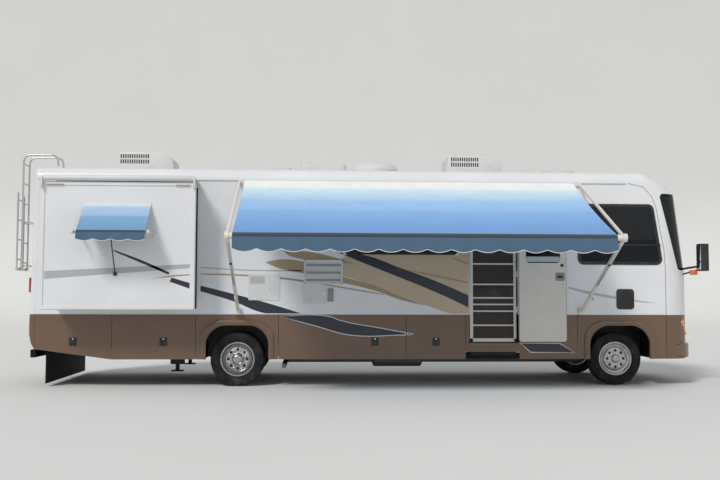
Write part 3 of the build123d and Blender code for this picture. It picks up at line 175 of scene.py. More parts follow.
def modified(obj, kind, **settings):
    """Add a modifier and apply it."""
    only(obj)
    modifier = obj.modifiers.new(kind.lower(), kind)
    for key, value in settings.items():
        setattr(modifier, key, value)
    bpy.ops.object.modifier_apply(modifier=modifier.name)
    return obj


def eased(obj, width, angle=50, segments=2):
    """Soften the edges that are sharper than an angle."""
    return modified(obj, "BEVEL", width=width, segments=segments, limit_method="ANGLE", angle_limit=radians(angle))


def edit(obj, *steps):
    """Run edit mode operators on all of a mesh."""
    only(obj)
    bpy.ops.object.mode_set(mode="EDIT")
    for step, settings in steps:
        bpy.ops.mesh.select_all(action="SELECT")
        step(**settings)
    bpy.ops.object.mode_set(mode="OBJECT")
    return obj


MERGE = (bpy.ops.mesh.remove_doubles, {"threshold": 1e-5})
FACE_OUT = (bpy.ops.mesh.normals_make_consistent, {"inside": False})


def outward(obj):
    """Merge doubles and point the faces outwards."""
    return edit(obj, MERGE, FACE_OUT)


def smooth(obj, angle):
    only(obj)
    bpy.ops.object.shade_smooth_by_angle(angle=radians(angle))
    return obj


def dress(obj, material, slot):
    """Give a piece its material. Its slot argument is not used."""
    obj.data.materials.clear()
    obj.data.materials.append(MATERIALS[material])
    return obj


def shifted(obj, material, slot, angle):
    """Apply a piece's transforms, move it to the part's frame, smooth it and dress it."""
    applied(obj)
    obj.data.transform(Matrix.Translation(-ORIGIN))
    return dress(smooth(obj, angle), material, slot)


def settle(obj, material, slot, body="coach", angle=35):
    """Finish a piece that rides on one body."""
    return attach(shifted(obj, material, slot, angle), body)


def slab(name, low, high, bevel=0.0, segments=2):
    """A box between two corners with softened edges."""
    low, high = Vector(low), Vector(high)
    clear()
    bpy.ops.mesh.primitive_cube_add(size=1, location=(low + high) / 2)
    obj = named(name)
    obj.scale = high - low
    applied(obj)
    if bevel:
        modified(obj, "BEVEL", width=bevel, segments=segments, limit_method="NONE")
    return obj


def bar(name, start, end, radius, sides=20, bevel=0.0):
    """A round bar between two points, its end edges softened."""
    start, end = Vector(start), Vector(end)
    clear()
    bpy.ops.mesh.primitive_cylinder_add(
        vertices=sides, radius=radius, depth=(end - start).length, location=(start + end) / 2,
        rotation=(end - start).to_track_quat("Z", "Y").to_euler(),
    )
    obj = applied(named(name))
    return eased(obj, bevel, 60) if bevel else obj


def disc(name, sides, radius, depth):
    """A short cylinder about the Y axis."""
    clear()
    bpy.ops.mesh.primitive_cylinder_add(vertices=sides, radius=radius, depth=depth, rotation=(pi / 2, 0, 0))
    return applied(named(name))


def turned(name, loop, middle=(0, 0, 0), steps=72):
    """A closed loop of (radius, Y) points turned about an axle along Y."""
    clear()
    bpy.ops.mesh.primitive_circle_add(vertices=len(loop), fill_type="NOTHING")
    obj = named(name)
    for vertex, (radius, y) in zip(obj.data.vertices, loop):
        vertex.co = (radius, y, 0)
    spin = {"steps": steps, "angle": 2 * pi, "center": (0, 0, 0), "axis": (0, 1, 0), "use_auto_merge": True}
    edit(obj, (bpy.ops.mesh.spin, spin), MERGE, (bpy.ops.mesh.dissolve_degenerate, {"threshold": 1e-6}), FACE_OUT)
    obj.location = middle
    return applied(obj)


def curve_mesh(name, curve):
    """Turn a curve into a mesh object."""
    obj = bpy.data.objects.new(name, curve)
    bpy.context.scene.collection.objects.link(obj)
    only(obj)
    bpy.ops.object.convert(target="MESH")
    return named(name)


def tube(name, points, radius, cyclic=False, roundness=3):
    """A round tube along a path."""
    curve = bpy.data.curves.new(name, "CURVE")
    curve.dimensions = "3D"
    curve.bevel_depth = radius
    curve.bevel_resolution = roundness
    curve.use_fill_caps = not cyclic
    spline = curve.splines.new("POLY")
    spline.points.add(len(points) - 1)
    for point, place in zip(spline.points, points):
        point.co = (*place, 1)
    spline.use_cyclic_u = cyclic
    return outward(curve_mesh(name, curve))


def outline_plate(name, outline, thickness, curved=True):
    """A flat plate standing in X and Z from a closed outline. If curved, only its sharper corners stay corners."""
    curve = bpy.data.curves.new(name, "CURVE")
    curve.dimensions = "2D"
    curve.fill_mode = "BOTH"
    curve.extrude = thickness / 2
    curve.resolution_u = 6
    spline = curve.splines.new("BEZIER" if curved else "POLY")
    points = spline.bezier_points if curved else spline.points
    points.add(len(outline) - 1)
    for n, (point, (x, z)) in enumerate(zip(points, outline)):
        if curved:
            before, here, after = (Vector((*outline[(n + k) % len(outline)], 0)) for k in (-1, 0, 1))
            turn = (here - before).angle(after - here, 0) if before != here and after != here else pi
            point.co = here
            point.handle_left_type = point.handle_right_type = "VECTOR" if turn > radians(38) else "AUTO"
        else:
            point.co = (x, z, 0, 1)
    spline.use_cyclic_u = True
    obj = curve_mesh(name, curve)
    obj.rotation_euler = (pi / 2, 0, 0)
    return outward(applied(obj))


def rounded(x0, x1, z0, z1, radius, steps=5):
    """A rectangle's outline with round corners."""
    points = []
    for cx, cz, start in ((x1 - radius, z1 - radius, 0), (x0 + radius, z1 - radius, 90),
                          (x0 + radius, z0 + radius, 180), (x1 - radius, z0 + radius, 270)):
        for n in range(steps + 1):
            a = radians(start + 90 * n / steps)
            points.append((cx + radius * cos(a), cz + radius * sin(a)))
    return points


def plate(name, outline, y0, y1, bevel=0.0):
    """A plate with straight edges between two Y planes."""
    obj = outline_plate(name, outline, y1 - y0, curved=False)
    obj.location.y = (y0 + y1) / 2
    applied(obj)
    return eased(obj, bevel) if bevel else obj


def cloth_grid(name, across, along, place):
    """A sheet from a grid whose points are placed by a function of its width and its length, 0 to 1."""
    clear()
    bpy.ops.mesh.primitive_grid_add(x_subdivisions=across, y_subdivisions=along, size=1)
    obj = named(name)
    for vertex in obj.data.vertices:
        vertex.co = place(vertex.co.x + 0.5, vertex.co.y + 0.5)
    return obj


def copied(obj, name, matrix):
    """A copy with its own mesh, moved by a matrix."""
    twin = obj.copy()
    twin.data = obj.data.copy()
    twin.name = twin.data.name = name
    bpy.context.scene.collection.objects.link(twin)
    twin.data.transform(matrix)
    if matrix.determinant() < 0:
        outward(twin)
    return twin


def joined(name, pieces):
    """Several meshes made one."""
    clear()
    for piece in pieces:
        piece.select_set(True)
    bpy.context.view_layer.objects.active = pieces[0]
    bpy.ops.object.join()
    return named(name)


def node_copy(node, name, angle):
    """A merged and smoothed copy that stands for a CAD node."""
    obj = copied(frame["nodes"][node], name, Matrix.Identity(4))
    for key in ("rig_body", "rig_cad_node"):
        if key in obj:
            del obj[key]
    obj.parent = None
    quads = {"face_threshold": radians(2), "shape_threshold": radians(60)}
    edit(obj, MERGE, (bpy.ops.mesh.tris_convert_to_quads, quads))
    return modified(smooth(obj, angle), "WEIGHTED_NORMAL", keep_sharp=True, weight=80)


def boxes(rows, body="coach"):
    """Make and settle plain boxes. A row has the name, two corners, bevel, material and slot."""
    for name, low, high, bevel, material, slot in rows:
        settle(slab(name, low, high, bevel), material, slot, body)


# Shader expressions

class Wire:
    """A shader socket that can stand in Python expressions."""

    def __init__(self, finish, socket):
        self.finish, self.socket = finish, socket

    def maths(self, operation, *values):
        return self.finish.node("ShaderNodeMath", {"operation": operation}, dict(enumerate((self, *values))))

    def __add__(self, other):
        return self.maths("ADD", other)

    def __sub__(self, other):
        return self.maths("SUBTRACT", other)

    def __mul__(self, other):
        return self.maths("MULTIPLY", other)

    def above(self, edge):
        return self.maths("GREATER_THAN", edge)

    def below(self, edge):
        return self.maths("LESS_THAN", edge)

    def wave(self):
        return self.maths("SINE")

    def size(self):
        return self.maths("ABSOLUTE")

    def ramp(self, low, high, to_low=0.0, to_high=1.0):
        """A smooth step from one value to another."""
        return self.finish.node(
            "ShaderNodeMapRange", {"interpolation_type": "SMOOTHSTEP"},
            {"Value": self, "From Min": low, "From Max": high, "To Min": to_low, "To Max": to_high},
        )


class Finish:
    """A node-based material around one Principled shader."""

    def __init__(self, name, **constants):
        self.material = bpy.data.materials.new(name)
        self.material.use_nodes = True
        self.tree = self.material.node_tree
        self.tree.nodes.clear()
        self.shader = self.tree.nodes.new("ShaderNodeBsdfPrincipled")
        output = self.tree.nodes.new("ShaderNodeOutputMaterial")
        self.tree.links.new(self.shader.outputs[0], output.inputs["Surface"])
        for key, value in constants.items():
            self.shader.inputs[key.replace("_", " ")].default_value = value
        self.place = self.node("ShaderNodeTexCoord", {}, {}, "Object")

    def node(self, kind, settings, inputs, out=0):
        """Add a node: its settings first, then the values or links of its sockets."""
        node = self.tree.nodes.new(kind)
        for key, value in settings.items():
            if key == "stops":
                ramp = node.color_ramp
                while len(ramp.elements) < len(value):
                    ramp.elements.new(0.5)
                for element, (position, colour) in zip(ramp.elements, value):
                    element.position = position
                    element.color = (*colour, 1)
            else:
                setattr(node, key, value)
        for key, value in inputs.items():
            if isinstance(value, Wire):
                self.tree.links.new(value.socket, node.inputs[key])
            else:
                node.inputs[key].default_value = value
        return Wire(self, node.outputs[out])

    def axis(self, letter):
        """One coordinate of the surface in the part's frame."""
        return self.node("ShaderNodeSeparateXYZ", {}, {0: self.place}, letter)

    def noise(self, scale, detail, stretch=(1, 1, 1)):
        mapped = self.node("ShaderNodeMapping", {}, {"Vector": self.place, "Scale": stretch})
        inputs = {"Vector": mapped, "Scale": scale, "Detail": detail, "Roughness": 0.55}
        return self.node("ShaderNodeTexNoise", {}, inputs, "Fac")

    def mix(self, factor, a, b):
        """One colour turning into another."""
        a, b = (c if isinstance(c, Wire) else (*c, 1) for c in (a, b))
        return self.node("ShaderNodeMix", {"data_type": "RGBA"}, {"Factor": factor, 6: a, 7: b}, 2)

    def feed(self, **links):
        """Link what varies to the shader's own sockets."""
        for key, value in links.items():
            self.tree.links.new(value.socket, self.shader.inputs[key.replace("_", " ")])

    def bump(self, height, strength, distance):
        inputs = {"Height": height, "Strength": strength, "Distance": distance}
        self.feed(Normal=self.node("ShaderNodeBump", {}, inputs, "Normal"))


def srgb(*values):
    """A colour read from a screen, 0 to 255, as linear light."""
    return tuple(((v / 255 + 0.055) / 1.055) ** 2.4 if v > 10 else v / 255 / 12.92 for v in values)


def shade(colour, factor):
    return tuple(min(c * factor, 1.0) for c in colour)


def painted(name, colour, roughness, coat, dust, dust_top=1.5, orange_peel=0.05, lower=None):
    """Gloss paint or gelcoat: faint mottling, rain streaks, and road dust that thins out upwards.

    With a lower colour, the paint changes at the belt line.
    """
    finish = Finish(name, Coat_Weight=coat, Coat_Roughness=0.08)
    cloud = finish.noise(1.3, 2)
    streak = finish.noise(9.0, 4, (1, 1, 0.06))
    height = finish.axis("Z")
    grime = height.ramp(0.2, dust_top, 1, 0) * finish.noise(3.5, 5) * dust + streak.ramp(0.55, 0.8) * 0.025
    base = finish.mix(cloud.ramp(0.3, 0.7), shade(colour, 0.97), shade(colour, 1.03))
    if lower:
        base = finish.mix(height.below(BELT_Z), base, lower)
    finish.feed(Base_Color=finish.mix(grime, base, srgb(120, 108, 92)), Roughness=grime * 0.6 + roughness)
    finish.bump(finish.noise(140, 2), orange_peel, 0.0006)
    return finish.material


def metal(name, colour, roughness, brushed=(1, 1, 1), spots=0.0, metallic=1.0, scale=30):
    """Bare or plated metal with brushing or spots and uneven gloss."""
    finish = Finish(name, Metallic=metallic)
    grain = finish.noise(scale, 5, brushed)
    patch = finish.noise(2.2, 3)
    worn = finish.mix(grain.ramp(0.3, 0.75), shade(colour, 0.86), shade(colour, 1.06))
    if spots:
        worn = finish.mix(finish.noise(16, 6).ramp(0.56, 0.72) * spots, worn, srgb(96, 62, 40))
    finish.feed(Base_Color=worn, Roughness=grain.ramp(0.2, 0.8, roughness * 0.8, roughness * 1.25) + patch * 0.06)
    finish.bump(grain, 0.12, 0.0008)
    return finish.material


def plastic(name, colour, roughness, dust=0.08, grain=420):
    """Moulded plastic: fine grain, faint uneven tone and a little dust."""
    finish = Finish(name)
    tone = finish.noise(2.4, 3)
    dusty = finish.noise(6, 5).ramp(0.45, 0.8) * dust
    base = finish.mix(tone, shade(colour, 0.93), shade(colour, 1.05))
    finish.feed(Base_Color=finish.mix(dusty, base, srgb(150, 140, 125)), Roughness=tone * 0.12 + roughness)
    finish.bump(finish.noise(grain, 2), 0.12, 0.0004)
    return finish.material


def rubber(name, colour, dusty):
    """Rubber with road dust that thins out upwards."""
    finish = Finish(name, Specular_IOR_Level=0.2)
    dust = finish.noise(7, 6).ramp(0.42, 0.75)
    low = finish.axis("Z").ramp(0.0, 0.3, dusty, dusty * 0.36)
    tread = finish.noise(60, 4)
    finish.feed(Base_Color=finish.mix(dust * low, colour, srgb(98, 92, 84)), Roughness=tread * 0.2 + 0.62)
    finish.bump(tread, 0.35, 0.0012)
    return finish.material


def glass(name, colour, alpha, border=None):
    """Coated glass: clear or dark, with faint smears. A border is the black band printed round its edge."""
    finish = Finish(name, Specular_IOR_Level=0.22, IOR=1.5)
    smear = finish.noise(2.5, 4, (1, 1, 0.4))
    cover = smear.ramp(0.35, 0.8, alpha, min(alpha + 0.05, 1))
    tone = finish.mix(smear, colour, shade(colour, 1.4))
    if border:
        band = border(finish)
        tone = finish.mix(band, tone, (0.006, 0.006, 0.007))
        cover = cover.maths("MAXIMUM", band)
    finish.feed(Base_Color=tone, Alpha=cover, Roughness=smear.ramp(0.4, 0.9, 0.015, 0.06))
    return finish.material


def windshield_band(finish):
    """Where the windshield's printed border lies: its edges, and both sides of the centre post."""
    z, y = finish.axis("Z"), finish.axis("Y") + ORIGIN.y
    edge = z.below(1.805) + z.above(2.915) + y.size().below(0.045)
    return edge.above(0.5)


def lens(name, colour, ribs=220.0):
    """A moulded lamp lens with fine ribs."""
    finish = Finish(name, Coat_Weight=0.8, Coat_Roughness=0.03)
    rib = (finish.axis("Y") * ribs).wave() * (finish.axis("Z") * ribs).wave()
    base = finish.mix(rib.ramp(-1, 1), shade(colour, 0.65), colour)
    finish.feed(Base_Color=base, Roughness=rib.ramp(-1, 1, 0.1, 0.22))
    finish.bump(rib, 0.3, 0.001)
    return finish.material


def woven(name, colour=None, scale=700.0, stops=None):
    """Woven cloth. With stops, its colour runs down the sheet's own length."""
    finish = Finish(name, Sheen_Weight=0.25, Sheen_Roughness=0.6)
    x, y, z = (finish.axis(letter) for letter in "XYZ")
    weave = (x * scale).wave() * ((z - y) * scale).wave()
    tone = finish.noise(3.0, 4)
    if stops:
        length = finish.node("ShaderNodeUVMap", {}, {}, "UV")
        along = finish.node("ShaderNodeSeparateXYZ", {}, {0: length}, "Y")
        base = finish.node("ShaderNodeValToRGB", {"stops": stops}, {0: along}, "Color")
        base = finish.mix(tone.ramp(0.3, 0.8) * 0.12, base, srgb(92, 112, 130))
    else:
        base = finish.mix(tone, shade(colour, 0.86), shade(colour, 1.1))
    dirt = finish.noise(11, 5).ramp(0.6, 0.85) * 0.1
    finish.feed(Base_Color=finish.mix(dirt, base, srgb(105, 98, 88)), Roughness=tone * 0.1 + 0.78)
    finish.bump(weave, 0.25, 0.0005)
    return finish.material


def screen_mesh(name, colour):
    """Fine insect mesh: see-through between its threads."""
    finish = Finish(name)
    thread = (finish.axis("X") * 900.0).wave() * (finish.axis("Z") * 900.0).wave()
    tone = finish.noise(3, 3)
    finish.feed(
        Base_Color=finish.mix(tone, shade(colour, 0.7), shade(colour, 1.2)), Alpha=thread.ramp(-1, 1, 0.55, 0.8),
        Roughness=tone * 0.2 + 0.5)
    return finish.material


# Colours down the main awning and the window awning, from the wall to the roller
CANOPY_STOPS = [
    (0.0, srgb(240, 242, 243)), (0.10, srgb(238, 241, 243)), (0.15, srgb(206, 229, 241)),
    (0.30, srgb(170, 207, 237)), (0.36, srgb(150, 193, 237)), (0.50, srgb(140, 187, 236)),
    (0.56, srgb(120, 173, 228)), (0.72, srgb(106, 164, 222)), (0.78, srgb(100, 158, 219)),
    (1.0, srgb(88, 146, 212)),
]
SHADE_STOPS = [
    (0.0, srgb(226, 234, 240)), (0.05, srgb(196, 214, 232)), (0.12, srgb(168, 196, 224)),
    (0.40, srgb(148, 184, 217)), (0.46, srgb(116, 164, 203)), (1.0, srgb(98, 150, 194)),
]

MATERIALS = {}


def make_materials(settings):
    """The finish of each slot, and then those of the new pieces."""
    white, skirt, navy, tan, beige, grey = (
        tuple(getattr(settings, key)) for key in ("body", "skirt", "navy", "tan", "beige", "grey"))
    MATERIALS.update({
        "body_white": painted("white_gelcoat", white, 0.3, 0.25, 0.10),
        "skirt_paint": painted("brown_skirt_paint", skirt, 0.3, 0.4, 0.12, 1.2),
        "frame_black": plastic("black_window_frame", (0.012, 0.012, 0.013), 0.3),
        "chassis_black": metal("chassis_paint", (0.012, 0.012, 0.013), 0.55, spots=0.35, metallic=0.0),
        "cast_grey": metal("raw_casting", (0.075, 0.07, 0.066), 0.6, spots=0.5, metallic=0.5),
        "galvanised": metal("galvanised_sheet", (0.22, 0.22, 0.23), 0.55, spots=0.08, metallic=0.6, scale=55),
        "bright_metal": metal("polished_steel", (0.50, 0.495, 0.485), 0.2, scale=12),
        "aluminium_trim": metal("brushed_aluminium", (0.62, 0.62, 0.61), 0.32, (1, 1, 0.05)),
        "arm_ivory": painted("ivory_powder_coat", srgb(220, 216, 206), 0.42, 0.05, 0.10, 2.4, 0.15),
        "tyre_black": rubber("tyre_rubber", (0.012, 0.012, 0.013), 0.5),
        "plastic_white": plastic("white_plastic", (0.66, 0.67, 0.66), 0.42, 0.22),
        "plastic_black": plastic("black_plastic", (0.014, 0.014, 0.015), 0.4, 0.12),
        "tinted_glass": glass("dark_tinted_glass", (0.008, 0.010, 0.012), 0.95),
        "clear_glass": glass("windshield_glass", (0.016, 0.021, 0.020), 0.80, windshield_band),
        "lamp_red": lens("red_lens", (0.35, 0.008, 0.008)),
        "mesh_brown": screen_mesh("insect_mesh", (0.055, 0.042, 0.032)),
        "awning_cloth": woven("blue_striped_cloth", stops=CANOPY_STOPS),
        "seat_cloth": woven("seat_cloth", (0.22, 0.18, 0.14), 420),
        "dash_plastic": plastic("dash_plastic", (0.035, 0.033, 0.032), 0.55, 0.2, 160),
        "two_tone": painted("white_over_brown_paint", white, 0.3, 0.25, 0.08, lower=skirt),
        "navy": painted("dark_vinyl", navy, 0.32, 0.1, 0.08),
        "tan": painted("tan_vinyl", tan, 0.34, 0.1, 0.06),
        "beige": painted("beige_paint", beige, 0.3, 0.2, 0.06),
        "grey": painted("grey_vinyl", grey, 0.32, 0.1, 0.06),
        "piping": woven("white_binding", (0.74, 0.76, 0.78), 900),
        # The valance's own blue, darkened with painted shade
        "valance": woven("blue_valance_cloth", srgb(66, 95, 121)),
        # The rolled cloth's dark grey is painted shade of the roller's underside
        "roller_cloth": woven("rolled_cloth", srgb(47, 60, 68)),
        "shade_canopy": woven("window_awning_cloth", stops=SHADE_STOPS),
        "topper": woven("white_topper_cloth", (0.62, 0.63, 0.64)),
        "amber": lens("amber_lens", (0.8, 0.17, 0.01)),
        "clear_lens": lens("headlamp_lens", (0.62, 0.64, 0.66), 160),
        "mirror": metal("mirror_silver", (0.85, 0.87, 0.88), 0.03, scale=3),
        "chrome": metal("chrome", (0.9, 0.9, 0.9), 0.05, scale=8),
        "flap_rubber": rubber("flap_rubber", (0.006, 0.006, 0.006), 0.12),
        "underbody": painted("underbody_paint", (0.016, 0.016, 0.017), 0.75, 0.0, 0.10, 0.9),
        # Near black that paints the shade inside openings: the wheel covers' hand holes and the air conditioners'
        # louvres
        "dark_gap": plastic("dark_gap", (0.006, 0.006, 0.006), 0.8),
        "seal": plastic("rubber_seal", (0.014, 0.014, 0.014), 0.6),
        "door_lining": plastic("door_lining", srgb(214, 212, 204), 0.5, 0.06),
        "vent_grey": plastic("vent_grey", (0.28, 0.28, 0.28), 0.5, 0.2),
        "cloth_shade": woven("window_shade", srgb(178, 192, 192), 500),
    })


# Stage

FLOOR_SIZE = (140, 70, 1)
SWEEP_Y, SWEEP_R, SWEEP_STEPS = 35, 9, 12
BACKDROP_TOP = 40
SEEN_STRENGTH, LIGHT_STRENGTH = 0.86, 0.50
FILL_PLACE = Vector((4, -15, 6))
PHOTO_EYE = Vector((-1.775046, -14.911844, 1.362265))
PHOTO_LENS = 45.04
PHOTO_YAW, PHOTO_PITCH, PHOTO_ROLL = -0.0525615, 0.0617685, 0.0023765


def stage_material():
    """A pale matt floor of a slightly uneven light grey."""
    finish = Finish("studio_floor", Roughness=0.9, Specular_IOR_Level=0.1)
    finish.feed(Base_Color=finish.mix(finish.noise(0.35, 4), (0.68, 0.68, 0.67), (0.72, 0.72, 0.71)))
    return finish.material


def make_floor():
    """A floor that turns up into a backdrop behind the coach."""
    clear()
    bpy.ops.mesh.primitive_plane_add(size=1)
    floor = named("studio_sweep")
    edit(floor, (bpy.ops.transform.resize, {"value": FLOOR_SIZE}))
    bm = bmesh.new()
    bm.from_mesh(floor.data)
    back = [e for e in bm.edges if all(v.co.y > 1 for v in e.verts)]
    turns = [pi / 2 * (n + 1) / SWEEP_STEPS for n in range(SWEEP_STEPS)]
    sweep = [(SWEEP_Y + SWEEP_R * sin(a), SWEEP_R - SWEEP_R * cos(a)) for a in turns]
    for y, z in (*sweep, (SWEEP_Y + SWEEP_R, BACKDROP_TOP)):
        rise = bmesh.ops.extrude_edge_only(bm, edges=back)["geom"]
        back = [g for g in rise if isinstance(g, bmesh.types.BMEdge)]
        for point in rise:
            if isinstance(point, bmesh.types.BMVert):
                point.co.y, point.co.z = y, z
    bm.to_mesh(floor.data)
    bm.free()
    smooth(floor, 60)
    floor.data.materials.append(stage_material())


def make_world():
    """Soft light from all round, and a brighter backdrop for the camera alone."""
    world = bpy.data.worlds.new("studio")
    bpy.context.scene.world = world
    world.use_nodes = True
    tree = world.node_tree
    background = tree.nodes["Background"]
    path = tree.nodes.new("ShaderNodeLightPath")
    seen = tree.nodes.new("ShaderNodeMix")
    seen.data_type = "FLOAT"
    seen.inputs[2].default_value = LIGHT_STRENGTH
    seen.inputs[3].default_value = SEEN_STRENGTH
    tree.links.new(path.outputs["Is Camera Ray"], seen.inputs["Factor"])
    tree.links.new(seen.outputs[0], background.inputs["Strength"])
    background.inputs["Color"].default_value = (0.94, 0.97, 1.0, 1)


def make_light(name, kind, place, towards, **settings):
    light = bpy.data.lights.new(name, kind)
    for key, value in settings.items():
        setattr(light, key, value)
    obj = bpy.data.objects.new(name, light)
    obj.location = place
    obj.rotation_euler = Vector(towards).to_track_quat("-Z", "Y").to_euler()
    bpy.context.scene.collection.objects.link(obj)


def make_camera(scene):
    """The camera that fits the photograph."""
    camera = bpy.data.cameras.new("photo_camera")
    camera.sensor_width = 36
    camera.lens = PHOTO_LENS
    camera.clip_end = 300
    eye = bpy.data.objects.new("photo_camera", camera)
    turns = ((PHOTO_YAW, "Z"), (pi / 2 + PHOTO_PITCH, "X"), (PHOTO_ROLL, "Z"))
    yaw, pitch, roll = (Matrix.Rotation(angle, 4, axis) for angle, axis in turns)
    eye.matrix_world = Matrix.Translation(PHOTO_EYE - ORIGIN) @ yaw @ pitch @ roll
    scene.collection.objects.link(eye)
    scene.camera = eye


class MOTORHOME_OT_stage(bpy.types.Operator):
    """Floor, soft light and the camera at the photograph's angle"""
    bl_idname = "motorhome.stage"
    bl_label = "Stage"

    def execute(self, context):
        make_floor()
        make_world()
        make_light("soft_sun", "SUN", (0, 0, 0), (0.40, 0.60, -0.69), energy=1.9, angle=radians(14),
                   color=(1.0, 0.975, 0.94))
        make_light("fill_panel", "AREA", FILL_PLACE, Vector((0, 0, 1)) - FILL_PLACE, shape="RECTANGLE", size=16,
                   size_y=6, energy=140)
        make_camera(context.scene)
        context.scene.view_settings.view_transform = "Standard"
        return {"FINISHED"}


# Finishes of the CAD nodes

# Nodes that look otherwise than their slot
NODE_MATERIALS = [
    ("entry_door", "door_lining"), ("rear_bumper", "flap_rubber"), ("floor", "underbody"),
    ("entry_step", "underbody"), ("storage_bays", "underbody"),
]

# Node, name of its smooth copy, its material, its slot, its body, smoothing angle
SMOOTH_COPIES = [
    ("front_cap", "front_cap_shell", "two_tone", "body_white", "coach", 20),
    ("rear_cap", "rear_cap_shell", "two_tone", "body_white", "coach", 20),
    ("windshield", "windshield_halves", "clear_glass", "clear_glass", "coach", 30),
    ("front_bumper", "front_bumper_shell", "skirt_paint", "skirt_paint", "coach", 25),
    ("roof_fittings", "roof_vent_covers", "plastic_white", "plastic_white", "coach", 35),
    ("ladder_upper", "ladder_rails", "aluminium_trim", "aluminium_trim", "coach", 50),
    ("ladder_lower", "ladder_folded_part", "aluminium_trim", "aluminium_trim", "ladder_lower", 50),
    ("steering_wheel", "steering_wheel_rim", "dash_plastic", "dash_plastic", "steering_wheel", 65),
    ("mirrors", "mirror_heads", "plastic_black", "plastic_black", "coach", 40),
    ("awning_frame", "awning_arms_and_roller", "arm_ivory", "arm_ivory", "coach", 40),
    ("driveline", "shaft_exhaust_and_tanks", "galvanised", "galvanised", "coach", 40),
]


class MOTORHOME_OT_finishes(bpy.types.Operator):
    """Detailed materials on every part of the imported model"""
    bl_idname = "motorhome.finishes"
    bl_label = "Finishes"

    def execute(self, context):
        make_materials(context.scene.motorhome_finish)
        for row in frame["record"]["subparts"]:
            node = frame["nodes"][row["node"]]
            node.data.materials.clear()
            node.data.materials.append(MATERIALS[row["material_slot"]])
        for node, material in NODE_MATERIALS:
            frame["nodes"][node].data.materials[0] = MATERIALS[material]
        door = frame["nodes"]["entry_door"].data
        door.materials.append(MATERIALS["two_tone"])
        for face in door.polygons:
            outer = face.normal.y > 0.9 and face.center.y + ORIGIN.y > DOOR_OUTER_Y - 0.005
            face.material_index = 1 if outer else 0
        return {"FINISHED"}


class MOTORHOME_OT_shells(bpy.types.Operator):
    """Smoothly shaded copies of the rounded parts"""
    bl_idname = "motorhome.shells"
    bl_label = "Rounded shells"

    def execute(self, context):
        for node, name, material, slot, body, angle in SMOOTH_COPIES:
            obj = dress(node_copy(node, name, angle), material, slot)
            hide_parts(node)
            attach(obj, body)
        return {"FINISHED"}


# Striping: name, material, body, plane in Y, outline in X and Z
OVER_Y = WALL_Y - 0.0006
STRIPES = [
    ("slide_grey_band", "grey", "slide_out", SLIDE_Y,
     [(-5.600, 1.704), (-3.538, 1.811), (-3.538, 1.753), (-5.600, 1.592)]),
    ("slide_thin_dark", "navy", "slide_out", SLIDE_Y,
     [(-4.629, 2.012), (-4.252, 1.874), (-3.830, 1.690), (-3.844, 1.659), (-4.251, 1.832), (-4.628, 1.992)]),
    ("slide_wide_dark", "navy", "slide_out", SLIDE_Y,
     [(-3.799, 1.616), (-3.540, 1.540), (-3.540, 1.457), (-3.826, 1.558)]),
    ("slide_tan_line", "tan", "slide_out", SLIDE_Y,
     [(-4.076, 1.600), (-3.793, 1.647), (-3.540, 1.666), (-3.540, 1.651), (-3.792, 1.627)]),
    ("rear_dark", "navy", "coach", WALL_Y,
     [(-3.452, 1.508), (-2.951, 1.383), (-2.321, 1.212), (-1.945, 1.094), (-2.290, 1.082), (-2.530, 1.106),
      (-2.950, 1.271), (-3.452, 1.424)]),
    ("thin_grey", "grey", "coach", WALL_Y,
     [(-3.450, 1.789), (-2.715, 1.751), (-1.930, 1.746), (-1.930, 1.730), (-2.715, 1.730), (-3.450, 1.770)]),
    ("tan_leaf", "tan", "coach", WALL_Y,
     [(-2.491, 1.860), (-2.341, 1.897), (-2.116, 1.904), (-1.904, 1.869), (-1.299, 1.644), (-0.813, 1.510),
      (-0.448, 1.359), (-0.052, 1.209), (-0.448, 1.305), (-0.813, 1.434), (-1.298, 1.554), (-1.903, 1.695),
      (-2.265, 1.769)]),
    ("tan_swoosh", "tan", "coach", WALL_Y,
     [(-2.222, 2.049), (-1.815, 2.021), (-1.436, 1.938), (-1.117, 1.842), (-1.587, 1.873), (-1.965, 1.920),
      (-2.146, 1.974)]),
    ("tan_line", "tan", "coach", WALL_Y,
     [(-3.450, 1.688), (-3.014, 1.684), (-2.445, 1.655), (-1.963, 1.603), (-1.450, 1.517), (-1.056, 1.451),
      (-0.691, 1.386), (-0.691, 1.376), (-1.056, 1.431), (-1.449, 1.496), (-1.963, 1.573), (-2.444, 1.628),
      (-3.014, 1.660), (-3.450, 1.673)]),
    ("upper_dark", "navy", "coach", OVER_Y,
     [(-1.455, 2.044), (-1.312, 2.042), (-1.312, 1.984), (-1.030, 1.984), (-0.448, 1.787), (0.163, 1.561),
      (0.602, 1.370), (0.602, 1.184), (0.162, 1.391), (-0.448, 1.638), (-1.057, 1.879)]),
    ("brown_line_a", "tan", "coach", OVER_Y,
     [(-0.326, 1.760), (0.163, 1.671), (0.602, 1.576), (0.602, 1.549), (0.163, 1.637), (-0.326, 1.745)]),
    ("brown_line_b", "tan", "coach", OVER_Y,
     [(0.348, 1.958), (0.602, 1.864), (0.602, 1.832), (0.348, 1.937)]),
    ("front_grey", "grey", "coach", WALL_Y,
     [(2.143, 1.509), (2.477, 1.434), (2.882, 1.358), (3.256, 1.297), (3.522, 1.260), (3.256, 1.273),
      (2.881, 1.321), (2.477, 1.391), (2.142, 1.479)]),
]

BEIGE_AREA = [
    (-1.329, 1.675), (-1.420, 1.780), (-1.360, 1.886), (-1.215, 1.984), (0.451, 1.984), (0.451, 2.216),
    (0.604, 2.216), (0.604, 1.084), (0.345, 1.092), (-0.067, 1.224), (-0.448, 1.347), (-0.768, 1.465),
    (-1.086, 1.591),
]

